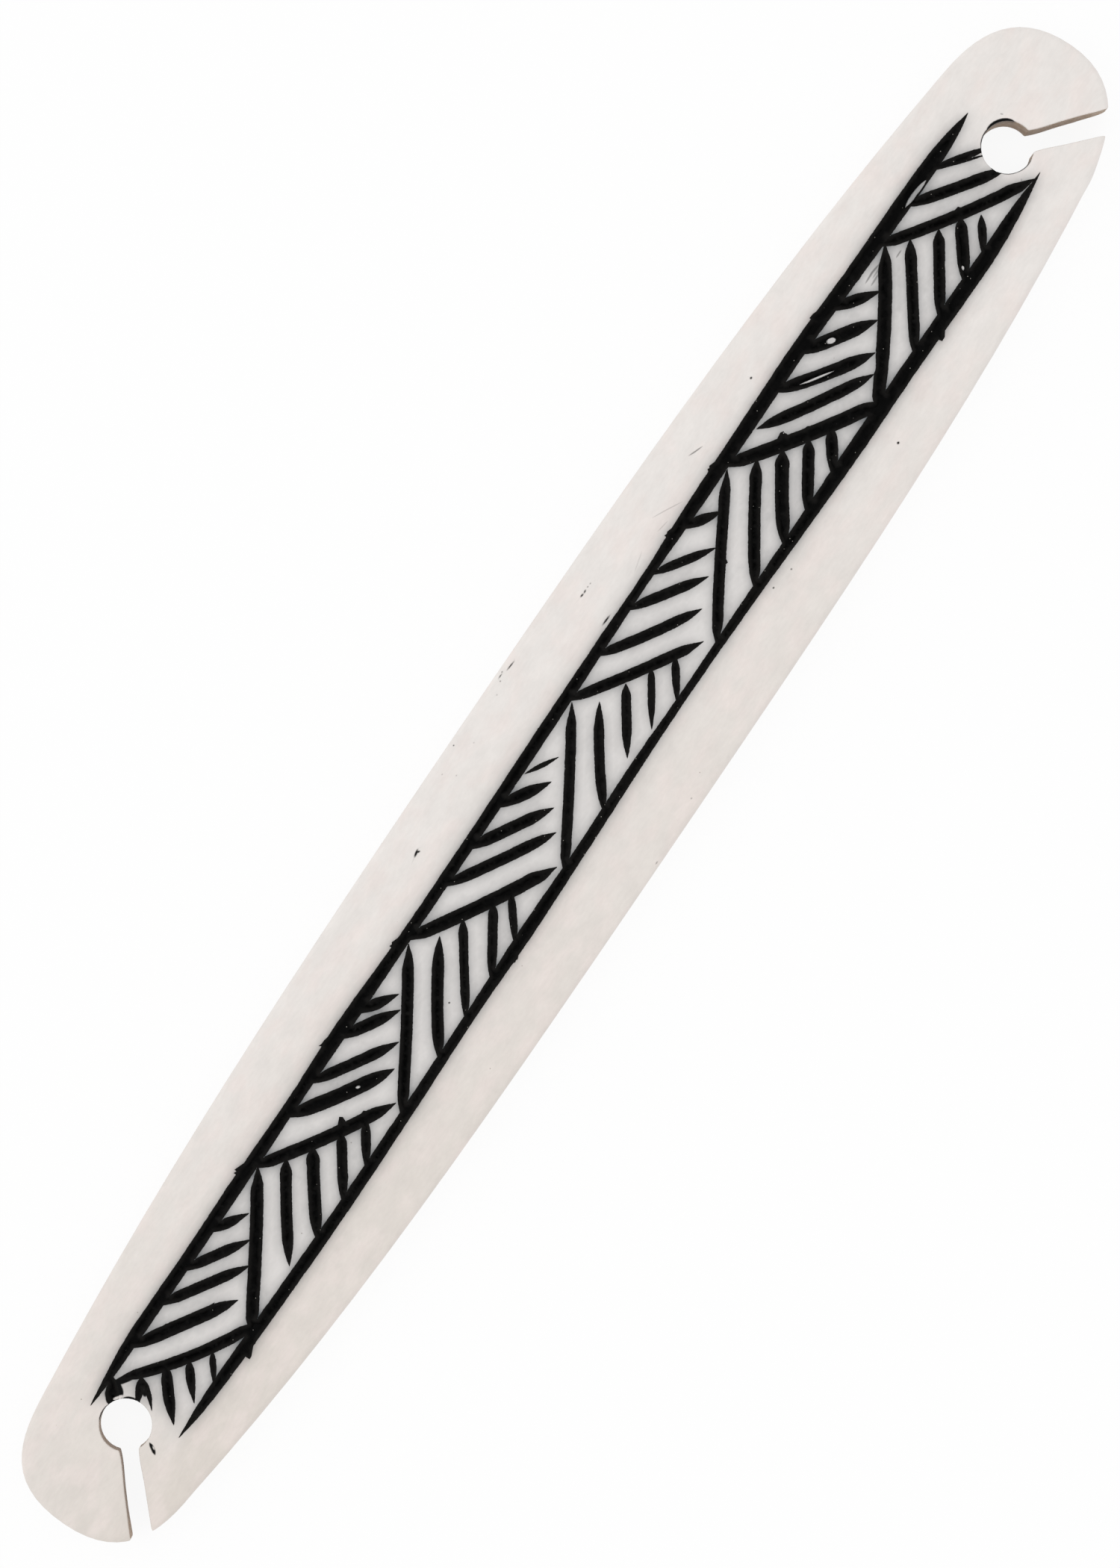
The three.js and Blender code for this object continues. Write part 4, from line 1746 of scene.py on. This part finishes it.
@dataclass
class Fillings:
    """The black filling of every cut, each a solid of its own that ends where the next one starts.

    Attributes:
        plan: The outline and the rims.
        sink: How far below the face the black starts at the rim.
        fall: How much deeper it lies at most.
        reach: How far from the rim it falls, evenly.
        bed: How far above the bottom of the cut the filling starts.
        grain: How uneven its surface is.
        calm: How far from the rim the unevenness is whole.
        rows: How far from the rims the rows of points are.
        edge_clear: How far points keep from the outline.
        rim_clear: How far points keep from the rims.
        end_clear: How far from the rims the points at a filling's end start.
        end_level: Where the ends of the CAD fillings are read, as a share of the thickness.
        sharp_angle: Edges that turn more than this are sharp, in degrees.
        seed: The start of the unevenness, to which each filling adds its number.
    """

    SIZES = ("Face", "Floor", "Sink", "Fall", "Reach", "Grain", "Seed")

    plan: Plan
    sink: float = 0.05
    fall: float = 0.4
    reach: float = 0.55
    bed: float = 0.02
    grain: float = 0.02
    calm: float = 0.1
    rows: tuple[float, ...] = (0.07, 0.15, 0.25, 0.37, 0.5)
    edge_clear: float = 0.02
    rim_clear: float = 0.03
    end_clear: float = 0.08
    end_level: float = 0.9
    sharp_angle: float = 40.0
    seed: int = 5

    def build(self) -> list[Object]:
        """Builds all the fillings.

        Returns:
            One object for each filling, named after the CAD node that it stands for.
        """
        cuts = self._cuts()
        flat, faces = cuts.points, cuts.faces
        owners = self._owners(cuts.middles())
        depth = np.abs(self.plan.to_rims.measure(flat))
        tree = self._tree()
        made = []
        for number, node in enumerate(self._nodes()):
            mine = faces[owners == number]
            used, packed = np.unique(mine, return_inverse=True)
            patch = np.column_stack([flat[used], np.zeros(len(used))])
            blank = new_object(f"{node}_patch", patch, packed.reshape(-1, 3).tolist())
            paint(blank, Paint.DEPTH, depth[used] * MM)
            made.append(self._raised(blank, tree, node, number))
        return made

    def dress(self, fillings: Sequence[Object]) -> None:
        """Gives the fillings their place in the frame.

        Args:
            fillings: One object for each filling, in order.
        """
        for filling, node in zip(fillings, self._nodes()):
            filling.data.shade_smooth()
            filling.data.set_sharp_from_angle(angle=math.radians(self.sharp_angle))
            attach(filling, BODY)
            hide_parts(node)

    @staticmethod
    def _nodes() -> list[str]:
        """Returns the names of the CAD fillings, in order."""
        return sorted(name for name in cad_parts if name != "blade")

    def _cuts(self) -> Tiling:
        """Joins the rims and rows of points between them, and keeps what lies in a cut.

        Returns:
            The triangles of all the cuts.
        """
        plan = self.plan
        rows = np.concatenate([beside(plan.rims, plan.to_rims, self.rows), self._ends()])
        rows = rows[plan.to_outline.measure(rows) < -self.edge_clear]
        net = plan.net()
        net.scatter(rows[plan.to_rims.measure(rows) > self.rim_clear])
        tiling = net.joined()
        tiling = tiling.kept(~tiling.right_of(plan.to_outline, REACH_OF_SAY))
        return tiling.kept(tiling.right_of(plan.to_rims, REACH_OF_SAY))

    def _ends(self) -> Array:
        """Sets points along the outlines of the CAD fillings, where one ends at another.

        Returns:
            The points that lie well inside the cuts.
        """
        level = self.plan.thickness * self.end_level
        outlines = [loop for node in self._nodes() for loop in section(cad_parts[node], level)]
        smooth = (line.cleaned(Plan.CLEAN_GAP) for line in outlines)
        points = [line.smoothed(Plan.RIM_STEP, Plan.SHARP).points for line in smooth]
        points = np.concatenate(points)
        return thinned(points[self.plan.to_rims.measure(points) > self.end_clear], LEAST_GAP)

    def _owners(self, middles: Array) -> Array:
        """Finds the CAD filling that each triangle belongs to.

        Args:
            middles: The middles of the triangles.

        Returns:
            The number of the filling for each of them.
        """
        corners: list[Triple] = []
        faces: list[list[int]] = []
        owner: list[int] = []
        for number, node in enumerate(self._nodes()):
            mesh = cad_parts[node].data
            start = len(corners)
            corners += [tuple(vertex.co / MM) for vertex in mesh.vertices]
            faces += [[start + k for k in polygon.vertices] for polygon in mesh.polygons]
            owner += [number] * len(mesh.polygons)
        tree = BVHTree.FromPolygons(corners, faces)
        top = max(corner[2] for corner in corners)
        return np.array([owner[tree.find_nearest((x, y, top))[2]] for x, y in middles])

    def _raised(self, blank: Object, tree: Any, node: str, number: int) -> Object:
        """Raises one filling from its flat patch.

        Args:
            blank: The flat patch.
            tree: The node tree that raises it.
            node: The CAD node that it stands for.
            number: Its number, which sets its own unevenness.

        Returns:
            The filling as a plain mesh.
        """
        modifier = blank.modifiers.new("filling", "NODES")
        modifier.node_group = tree
        lengths = [self.plan.thickness, self.plan.floor + self.bed]
        lengths += [self.sink, self.fall, self.reach, self.grain]
        values = [*(length * MM for length in lengths), float(self.seed + number)]
        sizes = dict(zip(self.SIZES, values))
        for item in tree.interface.items_tree:
            if item.name in sizes and item.in_out == "INPUT":
                modifier[item.identifier] = sizes[item.name]
        shape = blank.evaluated_get(bpy.context.evaluated_depsgraph_get())
        mesh = bpy.data.meshes.new_from_object(shape)
        mesh.name = node
        made = bpy.data.objects.new(f"{node}_black", mesh)
        bpy.context.scene.collection.objects.link(made)
        bpy.data.objects.remove(blank)
        return made

    def _tree(self) -> Any:
        """Builds the node tree that raises a flat patch into a filling with a hollow top.

        Returns:
            The tree, with a named input for each size.
        """
        tree = bpy.data.node_groups.new("raise_filling", "GeometryNodeTree")
        graph = Graph(tree)
        tree.interface.new_socket("Geometry", in_out="INPUT", socket_type="NodeSocketGeometry")
        for name in self.SIZES:
            tree.interface.new_socket(name, in_out="INPUT", socket_type="NodeSocketFloat")
        tree.interface.new_socket("Geometry", in_out="OUTPUT", socket_type="NodeSocketGeometry")
        given = graph.node("NodeGroupInput").outputs
        wires = (Wire(graph, given[name]) for name in self.SIZES)
        face, floor, sink, fall, reach, grain, seed = wires
        here = graph.node("GeometryNodeInputPosition").outputs[0]
        at = graph.node("ShaderNodeSeparateXYZ", None, {0: here}).outputs
        number, named = {"data_type": "FLOAT"}, {"Name": Paint.DEPTH.value}
        depth = graph.wire("GeometryNodeInputNamedAttribute", "Attribute", number, named)
        hollow = fall * (depth / reach).clamped()
        place = {"W": seed, "Scale": 1 / MM, "Detail": 2.0}
        uneven = graph.wire("ShaderNodeTexNoise", 0, {"noise_dimensions": "4D"}, place) - 0.5
        edge = (depth / (self.calm * MM)).clamped()
        height = face - sink - hollow + uneven * grain * edge

        def level(z: Wire) -> Wire:
            """Returns the same place at another height."""
            return graph.wire("ShaderNodeCombineXYZ", 0, None, {0: at[0], 1: at[1], 2: z})

        low = {"Geometry": given["Geometry"], "Position": level(floor)}
        bottom = graph.node("GeometryNodeSetPosition", None, low)
        lift = {"Mesh": bottom.outputs[0], "Offset": (0.0, 0.0, 1.0), "Offset Scale": face - floor}
        lift["Individual"] = False
        raised = graph.node("GeometryNodeExtrudeMesh", {"mode": "FACES"}, lift).outputs
        top = {"Geometry": raised["Mesh"], "Selection": raised["Top"], "Position": level(height)}
        shaped = graph.node("GeometryNodeSetPosition", None, top)
        turned = graph.node("GeometryNodeFlipFaces", None, {0: bottom.outputs[0]})
        both = graph.node("GeometryNodeJoinGeometry")
        for part in (turned, shaped):
            tree.links.new(part.outputs[0], both.inputs[0])
        seam = {"Geometry": both.outputs[0], "Distance": SAME * MM}
        sewn = graph.node("GeometryNodeMergeByDistance", None, seam)
        real = graph.node("GeometryNodeRealizeInstances", None, {0: sewn.outputs[0]})
        black = {"Geometry": real.outputs[0], "Material": PigmentFinish().material()}
        dressed = graph.node("GeometryNodeSetMaterial", None, black)
        graph.node("NodeGroupOutput", None, {0: dressed.outputs[0]})
        return tree


# The studio


@dataclass(frozen=True)
class Studio:
    """A white table under soft light, seen from straight above.

    Attributes:
        pixels_per_mm: How large the photograph shows the engraved face.
        frame_height: The photograph's height in pixels.
        axis_turn: How far the blade is turned in the photograph, in degrees.
        aim: The place on the blade under the middle of the photograph.
        distance: How far the camera is above the face.
        sensor: The width of its sensor.
        floor_size: How large the table is.
        floor_tone: How white the table is.
        floor_glow: How much of its own light the camera sees instead.
        sky: How strong the even light is.
        key_energy: How strong the large lamp is, in watts.
        key_size: How large it is.
        key_place: Where it hangs.
    """

    pixels_per_mm: float = 16.255
    frame_height: float = 2100.0
    axis_turn: float = 55.758
    aim: Place = (-0.314, 0.549)
    distance: float = 417.0
    sensor: float = 36.0
    floor_size: float = 3000.0
    floor_tone: float = 0.95
    floor_glow: float = 0.9
    sky: float = 0.92
    key_energy: float = 0.9
    key_size: float = 700.0
    key_place: Triple = (-250.0, 650.0, 650.0)

    def build(self, face: float) -> None:
        """Sets up the floor, the light and the camera.

        Args:
            face: The height of the engraved face.
        """
        scene = bpy.context.scene
        scene.view_settings.view_transform = "Standard"
        self._floor()
        self._sky(scene)
        self._key()
        self._camera(scene, face)

    def _floor(self) -> None:
        """Lays the floor that the shuttle lies on."""
        half = self.floor_size / 2
        corners = np.array([(-half, -half, 0), (half, -half, 0), (half, half, 0), (-half, half, 0)])
        floor = new_object("table", corners, [(0, 1, 2, 3)])
        made = bpy.data.materials.new("white_table")
        made.use_nodes = True
        graph = Graph(made.node_tree)
        paper = {"Color": (*(self.floor_tone,) * 3, 1.0)}
        plain = graph.node("ShaderNodeBsdfDiffuse", None, paper).outputs[0]
        glow = graph.node("ShaderNodeEmission", None, {"Color": WHITE, "Strength": 1.0}).outputs[0]
        rays = graph.node("ShaderNodeLightPath").outputs
        seen = graph.math("MAXIMUM", rays["Is Camera Ray"], rays["Is Glossy Ray"])
        layers = {0: seen * self.floor_glow, 1: plain, 2: glow}
        mixed = graph.node("ShaderNodeMixShader", None, layers)
        graph.node("ShaderNodeOutputMaterial", None, {"Surface": mixed.outputs[0]})
        floor.data.materials.append(made)
        floor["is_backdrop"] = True

    def _sky(self, scene: bpy.types.Scene) -> None:
        """Surrounds everything with even light, which the camera sees as white.

        Args:
            scene: The scene.
        """
        world = bpy.data.worlds.new("white_tent")
        world.use_nodes = True
        graph = Graph(world.node_tree)
        rays = graph.node("ShaderNodeLightPath")
        strength = Wire(graph, rays.outputs["Is Camera Ray"]) * (1 - self.sky) + self.sky
        light = graph.node("ShaderNodeBackground", None, {"Color": WHITE, "Strength": strength})
        graph.node("ShaderNodeOutputWorld", None, {"Surface": light.outputs[0]})
        scene.world = world

    def _key(self) -> None:
        """Hangs one large soft lamp at the upper side of the blade."""
        lamp = bpy.data.lights.new("soft_key", "AREA")
        lamp.size = self.key_size * MM
        lamp.energy = self.key_energy
        made = bpy.data.objects.new("soft_key", lamp)
        made.location = Vector(self.key_place) * MM
        made.rotation_euler = (-made.location).to_track_quat("-Z", "Y").to_euler()
        bpy.context.scene.collection.objects.link(made)

    def _camera(self, scene: bpy.types.Scene, face: float) -> None:
        """Places the camera straight above the face, turned as the photograph is.

        Args:
            scene: The scene.
            face: The height of the engraved face.
        """
        camera = bpy.data.cameras.new("camera")
        camera.sensor_width = self.sensor
        camera.lens = self.sensor * self.distance * self.pixels_per_mm / self.frame_height
        camera.clip_start, camera.clip_end = 10 * MM, 10000 * MM
        turn = math.radians(self.axis_turn)
        right = Vector((math.cos(turn), -math.sin(turn), 0))
        up = Vector((math.sin(turn), math.cos(turn), 0))
        made = bpy.data.objects.new("camera", camera)
        basis = Matrix((right, up, right.cross(up))).transposed().to_4x4()
        above = Vector((*self.aim, face + self.distance)) * MM
        made.matrix_world = Matrix.Translation(above) @ basis
        scene.collection.objects.link(made)
        scene.camera = made


# What the hand left on this shuttle

SPURS = (
    Spur(-41.68, 4.5, 0.3, -41.95, 4.75),
    Spur(-41.3, 4.5, 0.8, -41.68, 4.85),
    Spur(-28.98, 4.6, 0.36, -29.36, 4.85),
    Spur(-28.68, 4.6, 0.5, -28.7, 4.74),
    Spur(-19.0, 4.5, 0.26, -19.27, 4.66),
    Spur(-18.68, 4.5, 0.5, -18.9, 4.68),
    Spur(21.7, 4.82, 0.36, 21.45, 4.97),
    Spur(22.08, 4.85, 0.36, 21.86, 4.95),
    Spur(28.0, 4.82, 0.26, 27.83, 4.94),
    Spur(28.15, 4.84, 0.36, 27.98, 5.11),
    Spur(28.42, 4.88, 0.5, 28.28, 5.14),
    Spur(43.15, 5.0, 0.36, 42.98, 5.16),
    Spur(43.45, 5.02, 0.6, 43.42, 5.13),
    Spur(-53.4, -4.62, 1.0, -53.9, -4.99),
    Spur(-53.62, -4.82, 0.4, -53.62, -4.98),
    Spur(48.0, -4.66, 0.9, 47.57, -4.96),
    Spur(47.85, -4.84, 0.4, 47.98, -4.94),
    Spur(-14.42, -4.52, 0.24, -14.52, -4.68),
    Spur(-14.18, -4.52, 0.36, -14.2, -4.7),
    Spur(-33.52, -0.22, 0.6, -33.22, 0.16),
    Spur(-33.25, -0.12, 0.3, -33.06, -0.09),
    Spur(-31.85, -1.38, 0.36, -31.68, -1.2),
    Spur(-11.05, 0.05, 0.4, -10.93, 0.2),
    Spur(33.6, 1.5, 0.7, 33.85, 1.84),
    Spur(33.8, 1.55, 0.3, 34.08, 1.68),
    Spur(33.85, 1.4, 0.2, 34.05, 1.44),
    Spur(35.4, 0.17, 0.26, 35.52, 0.31),
    Spur(57.22, 0.06, 0.3, 57.46, 0.22),
    Spur(57.42, -0.06, 0.3, 57.55, -0.02),
    Spur(22.5, -0.53, 0.3, 22.56, -0.62),
    Spur(-51.98, -0.02, 0.36, -51.62, 0.04),
)

CHIPS = (
    Spot(-30.35, 0.25, 0.42, 0.24, -38),
    Trace(((37.95, 2.8), (38.6, 2.3), (39.6, 1.65), (40.6, 1.0)), 0.2),
    Spot(42.47, 2.62, 0.8, 0.5, -35),
    Spot(53.54, -2.97, 0.4, 0.25, 45),
    Spot(33.97, 1.58, 0.2, 0.15, 0),
    Spot(-62.62, 2.2, 0.95, 0.3, -35),
    Spot(-64.38, -2.55, 0.26, 0.1, 60),
    Trace(((54.95, 3.76), (56.3, 3.74), (57.9, 3.6)), 0.4, 0.5),
)

MARKS = (
    Spot(12.98, 5.0, 0.9, 0.16, -2),
    Spot(-11.7, 7.14, 0.7, 0.2, 12),
    Spot(-11.5, 7.05, 0.3, 0.16, -30),
    Spot(5.46, 9.4, 0.8, 0.11, -4),
    Spot(4.27, 9.62, 0.35, 0.08),
    Spot(-2.62, 9.58, 0.12, 0.1),
    Spot(4.63, 9.69, 0.14, 0.1, 0, 0.7),
    Spot(3.92, 9.38, 0.12, 0.1, 0, 0.7),
    Spot(13.55, 7.8, 0.35, 0.14, -5),
    Spot(13.95, 7.78, 0.3, 0.12, 8),
    Spot(14.4, 7.8, 0.12, 0.08, 0, 0.8),
    Spot(14.75, 7.78, 0.12, 0.07, 0, 0.7),
    Spot(36.2, 6.36, 0.22, 0.17),
    Spot(38.6, -6.67, 0.24, 0.2),
    Spot(22.95, -4.9, 0.16, 0.13),
    Spot(25.05, -5.25, 0.15, 0.13, 0, 0.8),
    Spot(-20.35, -2.05, 0.16, 0.14),
    Spot(2.83, 8.98, 0.12, 0.08, 0, 0.4),
    Spot(-5.13, 9.02, 0.12, 0.08, 0, 0.4),
    Spot(-4.54, 8.0, 0.12, 0.08, 0, 0.4),
    Spot(-1.5, 8.33, 0.12, 0.08, 0, 0.35),
    Spot(-1.2, -9.69, 0.25, 0.09, 0, 0.6),
    Spot(4.8, -9.07, 0.14, 0.1, 0, 0.5),
    Trace(((28.0, 7.0), (28.6, 6.75), (29.3, 6.5)), 0.1, 0.7),
    Trace(((22.1, 6.6), (23.3, 6.0), (24.6, 5.3)), 0.07, 0.35),
    Trace(((21.4, 5.6), (22.6, 5.4)), 0.06, 0.3),
    Trace(((17.6, 5.3), (19.3, 5.75)), 0.06, 0.25),
    Trace(((47.9, 2.95), (49.0, 3.0), (50.0, 2.9)), 0.16, 0.6),
    Trace(((48.0, 2.45), (49.2, 2.5)), 0.14, 0.5),
    Trace(((48.6, 2.7), (49.8, 2.72)), 0.1, 0.4),
    Trace(((51.1, 2.05), (51.9, 2.06)), 0.12, 0.55),
    Trace(((-64.2, -2.0), (-64.45, -2.5), (-64.8, -3.0)), 0.32),
    Trace(((-63.5, 2.5), (-63.0, 2.9), (-62.55, 3.4)), 0.5),
    Trace(((-62.95, 2.6), (-62.5, 3.0), (-62.3, 3.5)), 0.6),
    Trace(((-61.55, 3.5), (-61.85, 2.9), (-62.5, 1.9)), 0.8),
    Trace(((-62.0, 3.25), (-61.0, 2.57), (-60.0, 1.9)), 0.62),
    Spot(-61.1, 0.62, 0.6, 0.36, 60),
    Trace(((65.75, 1.65), (65.85, 1.4)), 0.1, 0.5),
    Trace(((62.1, -3.0), (62.3, -2.8)), 0.1, 0.4),
)

EDGE_INK = (
    ((62.4, 1.35), (64.6, 1.7), 0.2),
    ((63.9, 1.75), (65.95, 0.3), 0.46),
    ((61.65, -0.9), (62.9, -2.4), 0.14),
    ((62.1, -2.1), (64.2, -2.65), 0.14),
    ((-65.1, 2.3), (-63.3, 2.5), 0.17),
    ((-62.5, 1.9), (-61.85, 0.7), 0.4),
)


def write_sizes() -> None:
    """Gathers the CAD model's box and the dressed model's box, and keeps neither."""
    boxes = {"cad": CAD_BOX, "visual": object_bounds()}
    {name: [list(corner) for corner in box] for name, box in boxes.items()}


def main() -> None:
    """Builds the shuttle on its table, sub-assembly by sub-assembly."""
    logging.basicConfig(level=logging.INFO, format="%(message)s")
    plan = Plan(SPURS)
    log.info("plan: %d rims, %d eyes with slots", len(plan.rims), len(plan.eyes))
    blade = Blade(plan, CHIPS, [*MARKS, *(plan.along_edge(*ink) for ink in EDGE_INK)])
    carved = blade.build()
    blade.dress(carved, BoneFinish())
    log.info("blade: %d faces", len(carved.data.polygons))
    fillings = Fillings(plan)
    blacks = fillings.build()
    fillings.dress(blacks)
    for black in blacks:
        log.info("%s: %d faces", black.name, len(black.data.polygons))
    Studio().build(plan.thickness)
    write_sizes()


if __name__ == "__main__":
    main()
